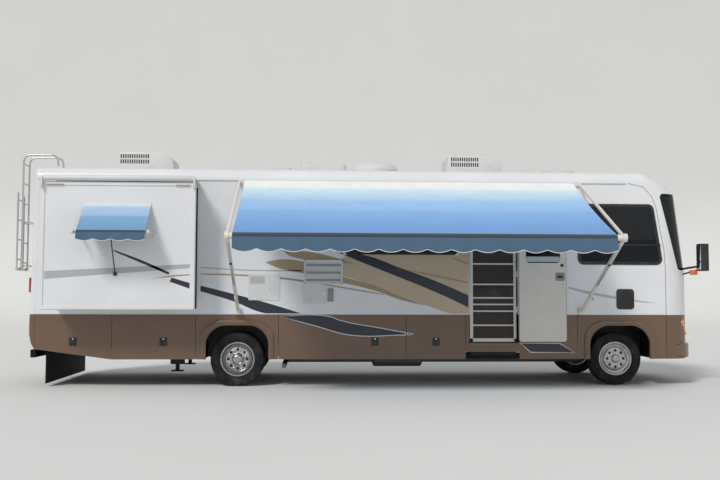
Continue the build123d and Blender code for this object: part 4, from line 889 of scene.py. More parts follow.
# Dark stripe on the skirt, cut at the seams: border's name, name, body, inset, whether curved, outline
SKIRT_STRIPES = [
    ("bay_c_dark_border", "bay_c_dark", "curb_bay_door_c", 0.011, True,
     [(-2.272, 1.052), (-1.508, 1.053), (-1.364, 0.999), (-0.752, 0.882), (-0.364, 0.812), (-0.364, 0.764),
      (-0.448, 0.764), (-1.195, 0.762), (-1.733, 0.902)]),
    ("bay_d_tip_border", "bay_d_tip", "curb_bay_door_d", 0.011, True,
     [(-0.344, 0.810), (-0.236, 0.792), (-0.300, 0.768), (-0.344, 0.766)]),
    ("front_skirt_border", "front_skirt_dark", "coach", 0.012, False,
     [(1.382, 0.650), (2.002, 0.650), (2.232, 0.503), (1.547, 0.503)]),
]


def inset_outline(outline, amount):
    """An outline moved inwards by an amount along the mean of its neighbouring edges' normals."""
    corners = [Vector(point) for point in outline]
    around = list(zip(corners[-1:] + corners[:-1], corners, corners[1:] + corners[:1]))
    area = sum(here.x * after.y - after.x * here.y for _, here, after in around)
    moved = []
    for before, here, after in around:
        normals = [Vector((-(b - a).y, (b - a).x)).normalized() for a, b in ((before, here), (here, after))]
        middle = (normals[0] + normals[1]) / 2
        length = max(middle.length_squared, 0.25)
        moved.append(tuple(here + middle * ((1 if area > 0 else -1) * amount / length)))
    return moved


def decal(name, outline, plane, material, body, curved=True):
    """A vinyl stripe on a wall."""
    obj = outline_plate(name, outline, 0.0012, curved)
    obj.location.y = plane - 0.0004
    return settle(obj, material, "body_white", body)


class MOTORHOME_OT_striping(bpy.types.Operator):
    """Vinyl stripes on the walls, the slide-out and the skirt"""
    bl_idname = "motorhome.striping"
    bl_label = "Striping"

    def execute(self, context):
        decal("beige_area", BEIGE_AREA, WALL_Y + 0.0004, "beige", "coach")
        for name, material, body, plane, outline in STRIPES:
            decal(name, outline, plane, material, body)
        for border, name, body, inset, curved, outline in SKIRT_STRIPES:
            decal(border, outline, WALL_Y, "body_white", body, curved)
            decal(name, inset_outline(outline, inset), WALL_Y - 0.0007, "navy", body, curved)
        return {"FINISHED"}


# Wheel openings: name, middle of the arch, how much wider the liner is, how far off the centre line its inner wall is
WELLS = [("rear", REAR_AXLE_X, 0.030, 0.690), ("front", FRONT_AXLE_X + 0.036, 0.085, 0.620)]
ARCH_HALF_W, ARCH_TOP_Z, ARCH_FLAT, ARCH_RISE, ARCH_STEPS = 0.466, 0.914, 0.170, 0.260, 14
WELL_Y = -1.248
RING_Y, RING_IN, RING_W, RING_RISE, RING_STEPS = -1.2932, 0.004, 0.072, 0.011, 8


def arch_path(middle, grow):
    """Points of a wheel opening in X and Z, from its rear foot over the top to its front foot."""
    reach, top = ARCH_HALF_W + grow, ARCH_TOP_Z + grow
    shoulder = top - ARCH_RISE
    half = [(reach, SKIRT_Z), (reach, shoulder)]
    for n in range(1, ARCH_STEPS):
        a = pi / 2 * n / ARCH_STEPS
        half.append((ARCH_FLAT + (reach - ARCH_FLAT) * cos(a), shoulder + ARCH_RISE * sin(a)))
    half.append((ARCH_FLAT, top))
    return [(middle - x, z) for x, z in half] + [(middle + x, z) for x, z in reversed(half)]


def arch_band(name, paths, y_at, thickness):
    """A thin sheet through several arch paths, each at its own Y."""
    last = len(paths) - 1

    def place(u, v):
        path = paths[round(v * last)]
        x, z = path[round(u * (len(path) - 1))]
        return x, y_at(v), z

    sheet = cloth_grid(name, len(paths[0]) - 1, last, place)
    return modified(sheet, "SOLIDIFY", thickness=thickness, offset=0)


def well_liner(name, middle, grow, inner):
    """A wheel well: the curved liner and its inner wall, both thin sheets."""
    path = arch_path(middle, grow)
    shell = arch_band(f"{name}_shell", [path] * 3, lambda v: WELL_Y - (WELL_Y + inner) * v, 0.004)
    return joined(name, [shell, plate(f"{name}_back", path, -inner, 0.004 - inner)])


def arch_edge(name, middle):
    """The bead round a wheel opening and the raised ring outside it, a band with a domed section."""
    bead = tube(f"{name}_bead", [(x, -1.290, z) for x, z in arch_path(middle, 0.008)], 0.009)
    paths = [arch_path(middle, RING_IN + RING_W * k / RING_STEPS) for k in range(RING_STEPS + 1)]
    ring = arch_band(f"{name}_ring", paths, lambda v: RING_Y - RING_RISE * sin(pi * v), 0.003)
    return joined(name, [bead, ring])


class MOTORHOME_OT_wheel_wells(bpy.types.Operator):
    """Raised rings, rolled edges and dark liners of the wheel openings"""
    bl_idname = "motorhome.wheel_wells"
    bl_label = "Wheel wells"

    def execute(self, context):
        for label, middle, grow, inner in WELLS:
            for piece, material in (
                (arch_edge(f"{label}_arch_edge", middle), "skirt_paint"),
                (well_liner(f"{label}_well", middle, grow, inner), "plastic_black"),
            ):
                settle(copied(piece, f"{piece.name}_far", MIRROR_Y), material, material)
                settle(piece, material, material)
        return {"FINISHED"}


# Wheels and tyres

def tyre_loop(middle, groove):
    """A tyre's section: beads, bulged side walls with a rim guard, round shoulders and four grooves."""
    half = [(TYRE_R, 0.0)]
    for centre in (0.022, 0.062):
        half += [
            (TYRE_R, centre - 0.0055), (TYRE_R - groove, centre - 0.004), (TYRE_R - groove, centre + 0.004),
            (TYRE_R, centre + 0.0055),
        ]
    half += [
        (TYRE_R - 0.001, 0.082), (TYRE_R - 0.005, 0.091), (TYRE_R - 0.014, 0.099), (TYRE_R - 0.030, 0.104),
        (0.352, 0.109), (0.330, 0.1125), (0.312, 0.1125), (0.290, 0.109), (0.272, 0.1035), (0.268, 0.1065),
        (0.262, 0.1065), (0.258, 0.099), (0.2490, 0.092), (0.2485, 0.078),
    ]
    return [(r, middle + y) for r, y in half[:0:-1]] + [(r, middle - y) for r, y in half]


def tread_blocks(obj, centre, groove, count=84):
    """Cut the shoulders and ribs across by pressing narrow bands of the tread inwards."""
    for vertex in obj.data.vertices:
        x, z = vertex.co.x - centre.x, vertex.co.z - centre.z
        radius, y = hypot(x, z), abs(vertex.co.y - centre.y)
        shoulder = y > 0.068
        turn = (atan2(z, x) / (2 * pi) * count + (0.5 if y > 0.06 else 0)) % 1
        if turn < 0.26 and radius > TYRE_R - 0.008 and y <= 0.1 and (shoulder or 0.027 < y < 0.057):
            scale = (radius - groove * (0.8 if shoulder else 0.5)) / radius
            vertex.co.x, vertex.co.z = centre.x + x * scale, centre.z + z * scale


def make_tyre(name, axle_x, outer_y, groove):
    middle = outer_y + TYRE_W / 2
    obj = turned(name, tyre_loop(middle, groove), (axle_x, 0, TYRE_R), TYRE_STEPS)
    tread_blocks(obj, Vector((axle_x, middle, TYRE_R)), groove)
    return obj


def rim_lip(a):
    """The outer lip that front and rear rims share."""
    return [(0.2560, a + 0.002), (0.2570, a + 0.006), (0.2490, a + 0.016), (RIM_R, a + 0.030)]


def front_wheel_loop(a, b):
    """A front wheel: rim, cover and hub as one closed section. a and b are its outer and inner faces."""
    return [
        *rim_lip(a), (RIM_R, b - 0.014), (0.2560, b - 0.006), (0.2540, b), (0.2440, b), (0.2360, b - 0.012),
        (0.2360, a + 0.070), (0.200, a + 0.062), (0.105, a + 0.062), (0.105, b + 0.004), (BORE_R, b + 0.004),
        (BORE_R, a + 0.050), (0, a + 0.050), (0, a - 0.034), (0.030, a - 0.033), (0.052, a - 0.028),
        (0.060, a - 0.018), (0.061, a), (0.066, a + 0.004), (0.100, a + 0.002), (0.150, a + 0.002),
        (0.168, a + 0.006), (0.180, a + 0.020), (0.196, a + 0.034), (0.216, a + 0.030), (0.232, a + 0.012),
        (0.240, a + 0.002), (RIM_R, a),
    ]


def rear_wheel_loop(a):
    """A twin rear wheel: two rims on one hat, with the bright cover in the outer one. a is its outer face."""
    middle = REAR_OUTER_Y + (TWIN_SPACING + TYRE_W) / 2
    c = REAR_OUTER_Y + TYRE_W - RIM_SET_IN
    b, d = c + TWIN_SPACING, a + TWIN_SPACING
    return [
        *rim_lip(a), (RIM_R, c), (0.200, middle - 0.012), (0.200, middle + 0.012), (RIM_R, d), (RIM_R, b),
        (0.236, b), (0.236, d + 0.016), (0.186, middle + 0.028), (0.150, middle + 0.028), (0.150, b - 0.020),
        (BORE_R, b - 0.020), (BORE_R, a + 0.090), (0, a + 0.090), (0, a - 0.012), (0.035, a - 0.010),
        (0.062, a - 0.002), (0.080, a + 0.014), (0.088, a + 0.034), (0.089, a + 0.058), (0.096, a + 0.062),
        (0.178, a + 0.062), (0.186, a + 0.068), (0.192, a + 0.088), (0.204, a + 0.096), (0.222, a + 0.072),
        (0.232, a + 0.020), (0.240, a + 0.002), (RIM_R, a),
    ]


def lug_nut(name):
    """A six-sided nut with a domed cap."""
    nut = eased(disc(name, 6, 0.0195, 0.018), 0.003)
    cap = [(0, -0.010), (0.014, -0.010), (0.0145, -0.016), (0.011, -0.024), (0.005, -0.028), (0, -0.029)]
    return joined(name, [nut, turned(f"{name}_dome", cap, steps=16)])


def hand_hole(name):
    """A disc of painted shade standing for a round opening between the nuts of a wheel cover."""
    return eased(disc(name, 24, 0.021, 0.006), 0.0015, segments=1)


def ring_of(name, make, axle_x, y, radius, count, offset):
    """Small pieces spaced evenly round an axle, joined."""
    pieces = []
    for n in range(count):
        a = 2 * pi * (n + offset) / count
        piece = make(f"{name}_{n}")
        piece.data.transform(Matrix.Translation((axle_x + radius * cos(a), y, TYRE_R + radius * sin(a))))
        pieces.append(piece)
    return joined(name, pieces)


class MOTORHOME_OT_wheels(bpy.types.Operator):
    """Bright wheels with nuts and hubs, and tyres with tread"""
    bl_idname = "motorhome.wheels"
    bl_label = "Wheels and tyres"

    def execute(self, context):
        settings = context.scene.motorhome_wheels
        steps, lugs, groove = settings.steps, settings.lugs, settings.groove
        front, rear = (FRONT_AXLE_X, 0, TYRE_R), (REAR_AXLE_X, 0, TYRE_R)
        a, c = FRONT_OUTER_Y + RIM_SET_IN, REAR_OUTER_Y + RIM_SET_IN
        b = FRONT_OUTER_Y + TYRE_W - RIM_SET_IN
        inner_y = REAR_OUTER_Y + TWIN_SPACING
        # Piece, its material, and the CAD node that it stands for without the side's name
        made = [
            (turned("front_wheel", front_wheel_loop(a, b), front, steps), "bright_metal", "front_wheel_"),
            (ring_of("front_nuts", lug_nut, FRONT_AXLE_X, a - 0.006, 0.126, lugs, 0.5), "chrome", None),
            (ring_of("front_holes", hand_hole, FRONT_AXLE_X, a + 0.0025, 0.126, lugs, 0), "dark_gap", None),
            (make_tyre("front_tyre", FRONT_AXLE_X, FRONT_OUTER_Y, groove), "tyre_black", "front_tyre_"),
            (turned("rear_wheels", rear_wheel_loop(c), rear, steps), "bright_metal", "rear_wheels_"),
            (ring_of("rear_nuts", lug_nut, REAR_AXLE_X, c + 0.054, 0.142, lugs, 0.5), "chrome", None),
            (ring_of("rear_holes", hand_hole, REAR_AXLE_X, c + 0.062, 0.142, lugs, 0), "dark_gap", None),
            (make_tyre("rear_tyre_outer", REAR_AXLE_X, REAR_OUTER_Y, groove), "tyre_black", "rear_tyres_"),
            (make_tyre("rear_tyre_inner", REAR_AXLE_X, inner_y, groove), "tyre_black", None),
        ]
        for obj, material, stands_for in made:
            name = obj.name
            far = copied(obj, f"{name}_far_side", MIRROR_Y)
            obj.name = obj.data.name = f"{name}_curb_side"
            for side, piece in (("curb", obj), ("far", far)):
                body = ("front_wheel_" if name.startswith("front") else "rear_wheels_") + side
                settle(piece, material, "tyre_black" if "tyre" in name else "bright_metal", body, 40)
                if stands_for:
                    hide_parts(stands_for + side)
        return {"FINISHED"}


# Awnings

def stretched(x_range, top, low, droop):
    """Where a sheet's points lie between two rails. droop(u, v) is how far they hang below a straight line."""
    def place(u, v):
        x = x_range[0] + (x_range[1] - x_range[0]) * u
        y, z = (a + (b - a) * v for a, b in zip(top, low))
        return x, y, z - droop(u, v)

    return place


def valance_place(x_range, top_y, top_z, drop, scallop, lean=0.05):
    """A valance hanging from a roller, with soft waves and a scalloped lower edge."""
    def place(u, v):
        along = (x_range[1] - x_range[0]) * u
        depth = drop * (0.80 + 0.20 * abs(sin(pi * along / scallop)))
        fold = 0.009 * sin(2 * pi * along / (scallop * 1.37)) * v
        return x_range[0] + along, top_y - lean * v * (1 - 0.4 * v) * 0.4 + fold, top_z - depth * v

    return place


def sheet_sizes(place, steps=60):
    """The flat width and length of a sheet, measured along its middle lines."""
    rows = [Vector(place(0.5, n / steps)) for n in range(steps + 1)]
    columns = [Vector(place(n / steps, 0.5)) for n in range(steps + 1)]
    return tuple(sum((b - a).length for a, b in zip(line, line[1:])) for line in (columns, rows))


def cloth(name, across, along, place, material, body, node=None):
    """A finished cloth sheet with a little thickness."""
    obj = modified(cloth_grid(name, across, along, place), "SOLIDIFY", thickness=0.0022, offset=0)
    settle(obj, material, "awning_cloth", body, 60)
    if node:
        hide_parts(node)
    return obj


def binding(name, place, count, body, radius):
    """The white binding sewn along a valance's lower edge."""
    points = [place(n / count, 1.0) for n in range(count + 1)]
    return settle(tube(name, points, radius, roundness=2), "piping", "awning_cloth", body, 60)


def arm_liner(name, x):
    """The inner rafter that shows as a lighter strip along each lower arm."""
    start, end = Vector((x, -1.345, 1.16)), Vector((x, ROLLER_Y + 0.02, ROLLER_Z - 0.02))
    along = end - start
    clear()
    bpy.ops.mesh.primitive_cube_add(size=1, location=start + along * 0.5)
    obj = named(name)
    obj.scale = (0.030, 0.034, along.length * 0.86)
    obj.rotation_euler = along.to_track_quat("Z", "Y").to_euler()
    return modified(applied(obj), "BEVEL", width=0.004, segments=2, limit_method="NONE")


class MOTORHOME_OT_main_awning(bpy.types.Operator):
    """The patio awning's cloth, its valance and the fittings on its arms"""
    bl_idname = "motorhome.main_awning"
    bl_label = "Patio awning"

    def execute(self, context):
        settings = context.scene.motorhome_awning
        (x0, x1), knob_y = AWNING_X, ROLLER_Y + 0.62

        def droop(u, v):
            return 4 * v * (1 - v) * (settings.sag + 0.012 * sin(pi * u) - 0.0025 * sin(17 * pi * u))

        place = stretched(AWNING_X, (-1.3013, 3.094), (ROLLER_Y + 0.002, ROLLER_Z + 0.0445), droop)
        canopy = cloth("awning_canopy_cloth", 96, 40, place, "awning_cloth", "coach", "awning_canopy")
        sheet_sizes(place)
        hang = valance_place(AWNING_X, ROLLER_Y - 0.046, ROLLER_Z - 0.012, settings.drop, settings.scallop)
        # The valance's colour is its own blue with painted shade
        valance = cloth("awning_valance", 256, 8, hang, "valance", "coach")
        edge = binding("awning_valance_binding", hang, 256, "coach", 0.0045)
        sheet_sizes(hang)
        # The roll's dark grey is painted shade
        roll = bar("awning_roller_cloth", (x0, ROLLER_Y, ROLLER_Z), (x1, ROLLER_Y, ROLLER_Z), 0.0440, 32)
        settle(roll, "roller_cloth", "awning_cloth")
        for n, x in enumerate((-2.883, 2.330)):
            knob = bar(f"awning_arm_knob_{n}", (x, knob_y, 1.855), (x, knob_y, 1.775), 0.018, 20, 0.004)
            settle(knob, "plastic_black", "plastic_black")
            lever = slab(f"awning_arm_lever_{n}", (x - 0.011, -1.92, 1.300), (x + 0.011, -1.86, 1.345), 0.004)
            settle(lever, "aluminium_trim", "aluminium_trim")
            settle(arm_liner(f"awning_inner_arm_{n}", x), "aluminium_trim", "aluminium_trim")
        return {"FINISHED"}


class MOTORHOME_OT_window_awning(bpy.types.Operator):
    """The small awning over the slide-out's window, and the roller of the topper"""
    bl_idname = "motorhome.window_awning"
    bl_label = "Window awning"

    def execute(self, context):
        (x0, x1), y, z = SHADE_X, SHADE_ROLLER_Y, SHADE_ROLLER_Z
        place = stretched(SHADE_X, (SLIDE_Y - 0.0123, 2.668), (y, 2.2665), lambda u, v: 0.056 * v * (1 - v))
        canopy = cloth("window_awning_cloth", 40, 24, place, "shade_canopy", "slide_out", "window_awning_canopy")
        sheet_sizes(place)
        hang = valance_place(SHADE_X, y - 0.028, 2.236, 0.120, 0.24, 0.03)
        # The valance's colour is its own blue with painted shade
        valance = cloth("window_awning_valance", 96, 6, hang, "valance", "slide_out")
        edge = binding("window_awning_binding", hang, 96, "slide_out", 0.004)
        sheet_sizes(hang)
        # The roll's dark grey is painted shade
        roll = bar("window_awning_roll", (x0, y, z), (x1, y, z), 0.0262, 24)
        settle(roll, "roller_cloth", "awning_cloth", "slide_out")
        rod = bar("window_awning_rod", (-4.585, y + 0.010, 2.215), (-4.600, SLIDE_Y - 0.012, 1.665), 0.0085, 14)
        settle(rod, "plastic_black", "plastic_black", "slide_out")
        boxes([("window_awning_rod_foot", (-4.625, SLIDE_Y - 0.018, 1.640), (-4.575, SLIDE_Y, 1.690), 0.004,
                "plastic_black", "plastic_black")], "slide_out")
        arms = []
        for n, x in enumerate((-5.102, -4.058)):
            arms += [
                slab(f"shade_arm_{n}", (x - 0.010, y, 2.228), (x + 0.010, SLIDE_Y - 0.002, 2.252), 0.004),
                slab(f"shade_foot_{n}", (x - 0.020, SLIDE_Y - 0.016, 2.195), (x + 0.020, SLIDE_Y, 2.285), 0.004),
                bar(f"shade_cap_{n}", (x - 0.012, y, z), (x + 0.012, y, z), 0.034, 24, 0.004),
            ]
            knob = bar(f"shade_knob_{n}", (x - 0.018, y, 2.248), (x - 0.0125, y, 2.248), 0.014, 20, 0.002)
            settle(knob, "piping", "arm_ivory", "slide_out")
        arms.append(slab("shade_rail", (-5.060, SLIDE_Y - 0.012, 2.660), (-4.100, SLIDE_Y, 2.682), 0.003))
        tube_y, tube_z = SLIDE_Y - 0.020, 3.046
        topper = [bar("topper_tube", (-5.651, tube_y, tube_z), (-3.487, tube_y, tube_z), 0.042, 28, 0.003)]
        for n, x in enumerate((-5.668, -3.500)):
            low, high = (x, SLIDE_Y - 0.072, 2.900), (x + 0.030, SLIDE_Y - 0.014, 3.066)
            topper.append(slab(f"topper_bracket_{n}", low, high, 0.004))
        settle(joined("topper_roller", topper), "plastic_white", "plastic_white", "slide_out")
        frame_piece = settle(joined("slide_awning_frame", arms), "arm_ivory", "arm_ivory", "slide_out")
        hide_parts("slide_awning_arms")
        boxes([
            (f"topper_arm_{n}", (x0, SLIDE_Y - 0.024, 2.940), (x1, SLIDE_Y - 0.0145, 2.956), 0.003,
             "vent_grey", "plastic_black")
            for n, (x0, x1) in enumerate(((-5.591, -5.350), (-3.755, -3.554)))
        ], "slide_out")
        return {"FINISHED"}


class MOTORHOME_OT_topper(bpy.types.Operator):
    """The cloth over the slide-out's roof"""
    bl_idname = "motorhome.topper"
    bl_label = "Topper"

    def execute(self, context):
        rail, roll = (WALL_Y - 0.008, 3.088), (SLIDE_Y - 0.020, 3.0895)
        place = stretched((-5.628, -3.510), rail, roll, lambda u, v: 0.020 * sin(pi * v) * sin(pi * u))
        obj = modified(cloth_grid("topper_cloth", 48, 16, place), "SOLIDIFY", thickness=0.002, offset=0)
        shifted(obj, "topper", "awning_cloth", 60)
        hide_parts("topper_sheet")
        sheet_sizes(place)
        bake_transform(obj)
        return {"FINISHED"}


# Doors

SCREEN_X, SCREEN_Y, SCREEN_Z = (0.620, 1.338), (-1.250, -1.230), (0.665, 2.623)
SCREEN_BARS = [0.918, 1.132, 1.235, 1.334, 1.540, 1.853]
SCREEN_HINGE = (1.344, -1.246)


class MOTORHOME_OT_screen_door(bpy.types.Operator):
    """The closed screen door: pale frame and bars, mesh panes, a slider, a catch and its hinges"""
    bl_idname = "motorhome.screen_door"
    bl_label = "Screen door"

    def execute(self, context):
        (x0, x1), (y0, y1), (z0, z1) = SCREEN_X, SCREEN_Y, SCREEN_Z
        parts = [
            slab("stile_a", (x0, y0, z0), (x0 + 0.052, y1, z1), 0.004),
            slab("stile_b", (x1 - 0.040, y0, z0), (x1, y1, z1), 0.004),
            slab("foot_rail", (x0, y0, z0), (x1, y1, z0 + 0.055), 0.004),
            slab("head_rail", (x0, y0, z1 - 0.055), (x1, y1, z1), 0.004),
        ]
        for n, z in enumerate(SCREEN_BARS):
            low, high = (x0 + 0.045, y0, z - 0.011), (x1 - 0.035, y1 - 0.005, z + 0.011)
            parts.append(slab(f"screen_bar_{n}", low, high, 0.003))
        frame_piece = settle(joined("screen_door_frame", parts), "door_lining", "mesh_brown", "screen_door")
        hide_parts("screen_door")
        boxes([
            ("screen_door_mesh", (x0 + 0.045, -1.2355, z0 + 0.05), (x1 - 0.035, -1.2345, z1 - 0.05), 0,
             "mesh_brown", "mesh_brown"),
            ("screen_slider", (x0 + 0.050, -1.2395, 1.132), (x1 - 0.038, -1.2370, 1.540), 0.001,
             "plastic_black", "mesh_brown"),
            ("screen_catch", (x0 + 0.010, y0 - 0.002, 1.430), (x0 + 0.042, y0, 1.540), 0.0008,
             "plastic_white", "plastic_white"),
        ], "screen_door")
        x, y = SCREEN_HINGE
        for n, z in enumerate((1.110, 1.660, 2.420)):
            pin = bar(f"screen_hinge_{n}", (x, y, z), (x, y, z + 0.090), 0.006, 16, 0.001)
            leaf = slab(f"screen_leaf_{n}", (x - 0.010, y - 0.003, z), (x, y + 0.003, z + 0.090))
            hinge = joined(f"screen_hinge_{n}", [pin, leaf])
            settle(hinge, "aluminium_trim", "aluminium_trim", "screen_door")
        return {"FINISHED"}


# Plates on the entry door: name, outline, depths from its inner face, bevel, material, slot.
# They stand 2 mm proud at most, which leaves 5 mm to the screen door when both doors are shut.
DOOR_PLATES = [
    ("door_window_shade", rounded(1.480, 2.000, 1.895, 2.425, 0.05), 0.004, 0.008, 0,
     "cloth_shade", "seat_cloth"),
    ("door_latch_plate", rounded(1.934, 2.070, 1.599, 1.719, 0.014), 0.006, 0.014, 0.002,
     "vent_grey", "aluminium_trim"),
    ("door_latch_paddle", rounded(1.955, 2.049, 1.640, 1.676, 0.008), 0, 0.007, 0.002,
     "plastic_black", "plastic_black"),
    ("door_window_blind", rounded(1.482, 1.998, 1.885, 1.965, 0.02), -0.0018, -0.0002, 0,
     "cloth_shade", "seat_cloth"),
]

# Seals on the entry door: name, outline, depth of the middle, radius
DOOR_SEALS = [
    ("door_window_gasket", rounded(1.461, 2.019, 1.853, 2.440, 0.07), 0.012, 0.014),
    ("door_edge_trim", rounded(1.369, 2.097, 0.670, 2.622, 0.045), 0.004, 0.0045),
]


class MOTORHOME_OT_entry_door(bpy.types.Operator):
    """Fittings on the open entry door and round its doorway"""
    bl_idname = "motorhome.entry_door"
    bl_label = "Entry door"

    def execute(self, context):
        face = DOOR_INNER_Y
        for name, outline, depth, radius in DOOR_SEALS:
            seal = tube(name, [(x, face + depth, z) for x, z in outline], radius, cyclic=True)
            settle(seal, "seal", "frame_black", "entry_door")
        for name, outline, y0, y1, bevel, material, slot in DOOR_PLATES:
            settle(plate(name, outline, face + y0, face + y1, bevel), material, slot, "entry_door")
        section = [(0, 0.001), (0.026, 0.001), (0.026, -0.0008), (0.0245, -0.0015), (0, -0.0015)]
        knob = turned("door_knob", section, (2.033, face, 1.833), 32)
        settle(knob, "plastic_black", "plastic_black", "entry_door")
        for n, z in enumerate((1.545, 1.495)):
            button = bar(f"door_button_{n}", (2.038, face + 0.001, z), (2.038, face - 0.0015, z), 0.009, 16, 0.0004)
            settle(button, "vent_grey", "aluminium_trim", "entry_door")
        trim = [
            slab("doorway_side_a", (0.598, -1.281, 1.080), (0.612, -1.270, 2.647), 0.002),
            slab("doorway_head", (0.598, -1.281, 2.633), (1.360, -1.270, 2.647), 0.002),
        ]
        settle(joined("doorway_trim", trim), "aluminium_trim", "aluminium_trim")
        return {"FINISHED"}


# Walls, windows and hatches

# 5 mm above the outer face of a raised bay door
BELT_MOULDING_Z = (1.0830, 1.0930)

# Frame round the refrigerator vent: low X, high X, low Z, high Z of each side
VENT_FRAME = [
    (-1.905, -1.314, 1.531, 1.552), (-1.905, -1.314, 1.883, 1.904), (-1.905, -1.884, 1.531, 1.904),
    (-1.335, -1.314, 1.531, 1.904),
]

# The seam between the side wall and the front cap, in X and Z
FRONT_SEAM = [
    (3.098, 3.107), (3.333, 3.055), (3.473, 2.900), (3.533, 2.729), (3.590, 2.388), (3.647, 2.078), (3.663, 1.770),
    (3.663, 0.420),
]

# X of the latch on each curb side bay door
BAY_LATCHES = [("a", -5.32025), ("b", -3.991), ("c", -0.827), ("d", 0.100)]


class MOTORHOME_OT_wall_details(bpy.types.Operator):
    """Window bars, vent and hatch louvres drawn as strips of painted shade, latches, seams, the drip rail and the
    slide-out's seal
    """
    bl_idname = "motorhome.wall_details"
    bl_label = "Wall details"

    def execute(self, context):
        for side, sign in SIDES:
            label = "cab" if side == "curb" else "cab_far"
            runs = [(-5.880, 0.598), (1.374, 3.650)] if side == "curb" else [(-5.880, 3.650)]
            rail, belt, window = (
                sorted((sign * a, sign * b)) for a, b in ((1.2753, 1.2915), (1.2745, 1.2790), (1.2785, 1.2905)))
            boxes([
                (f"window_bar_{label}", (2.317, window[0], 2.141), (3.588, window[1], 2.163), 0.002,
                 "frame_black", "frame_black"),
                (f"drip_rail_{side}", (-5.880, rail[0], 3.096), (3.060, rail[1], 3.112), 0.004,
                 "plastic_white", "body_white"),
                *((f"belt_moulding_{side}_{n}", (x0, belt[0], BELT_MOULDING_Z[0]), (x1, belt[1], BELT_MOULDING_Z[1]),
                   0.002, "body_white", "body_white") for n, (x0, x1) in enumerate(runs)),
            ])
            seam = tube(f"front_seam_{side}", [(x, sign * 1.276, z) for x, z in FRONT_SEAM], 0.003)
            settle(seam, "seal", "frame_black")
        vent = [
            slab(f"vent_side_{n}", (x0, -1.292, z0), (x1, -1.287, z1), 0.002)
            for n, (x0, x1, z0, z1) in enumerate(VENT_FRAME)
        ]
        settle(joined("vent_frame", vent), "plastic_white", "plastic_white")
        # The water heater grille's slots are grey strips of painted shade
        slots = []
        for n in range(9):
            x = -2.700 + 0.024 * n
            slots.append(slab(f"heater_slot_{n}", (x, -1.2850, 1.540), (x + 0.011, -1.2838, 1.650), 0.0004))
        settle(joined("water_heater_slots", slots), "vent_grey", "plastic_black")
        # The refrigerator vent's gaps are grey bands of painted shade between its louvres
        boxes([
            *((f"vent_gap_{n}", (-1.870, -1.2896, z - 0.018), (-1.350, -1.2886, z + 0.018), 0,
               "vent_grey", "plastic_black") for n, z in enumerate((1.598, 1.710, 1.822))),
            ("outlet_cover", (-1.546, -1.302, 1.273), (-1.461, -1.2955, 1.471), 0.003,
             "vent_grey", "plastic_black"),
            ("slide_seal_front", (-3.537, -1.278, 1.165), (-3.507, -1.275, 2.985), 0.001, "seal", "frame_black"),
        ])
        for n, (x, z) in enumerate(((-2.420, 1.455), (-1.600, 1.390))):
            lock = bar(f"hatch_lock_{n}", (x, -1.284, z), (x, -1.290, z), 0.011, 20, 0.001)
            settle(lock, "chrome", "bright_metal")
        fuel = plate("fuel_door", rounded(2.884, 3.160, 1.164, 1.475, 0.05, 8), -1.2895, -1.2835, 0.003)
        settle(fuel, "plastic_black", "plastic_black")
        for n, (letter, x) in enumerate(BAY_LATCHES):
            body, outline = f"curb_bay_door_{letter}", rounded(x - 0.056, x + 0.056, 0.607, 0.733, 0.012)
            pad = plate(f"bay_latch_{n}", outline, -1.2808, -1.2796, 0.0004)
            settle(pad, "plastic_black", "plastic_black", body)
            lock = bar(f"bay_lock_{n}", (x, -1.280, 0.712), (x, -1.285, 0.712), 0.010, 16, 0.001)
            settle(lock, "chrome", "bright_metal", body)
        return {"FINISHED"}


# Roof and underside

# An air conditioner's side view: X from its rear end, and Z
AC_PROFILE = [
    (0.0, 3.335), (0.0, 3.394), (0.023, 3.640), (0.060, 3.668), (0.626, 3.670), (0.775, 3.644), (0.900, 3.566),
    (0.922, 3.403), (0.912, 3.335),
]


class MOTORHOME_OT_roof(bpy.types.Operator):
    """Covers of the air conditioners, and their louvres as thin dark slots of painted shade"""
    bl_idname = "motorhome.roof"
    bl_label = "Roof units"

    def execute(self, context):
        for n, rear_x in enumerate((-4.938, 0.415)):
            outline = [(rear_x + x, z) for x, z in AC_PROFILE]
            cover = plate(f"ac_cover_{n}", outline, -0.340, 0.340, 0.030)
            settle(cover, "plastic_white", "plastic_white", angle=30)
            if n == 0:
                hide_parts("air_conditioners")
            # Each louvre opening is a thin dark slab: painted shade
            slots = []
            for low, high in ((3.568, 3.630), (3.479, 3.544)):
                for k in range(13):
                    x = rear_x + 0.069 + 0.036 * k
                    slots.append(slab(f"ac_slot_{k}", (x, -0.3412, low), (x + 0.020, -0.3390, high), 0.0008))
            near = joined(f"ac_louvres_{n}", slots)
            for piece in (near, copied(near, f"ac_louvres_far_{n}", MIRROR_Y)):
                settle(piece, "dark_gap", "plastic_black")
        return {"FINISHED"}


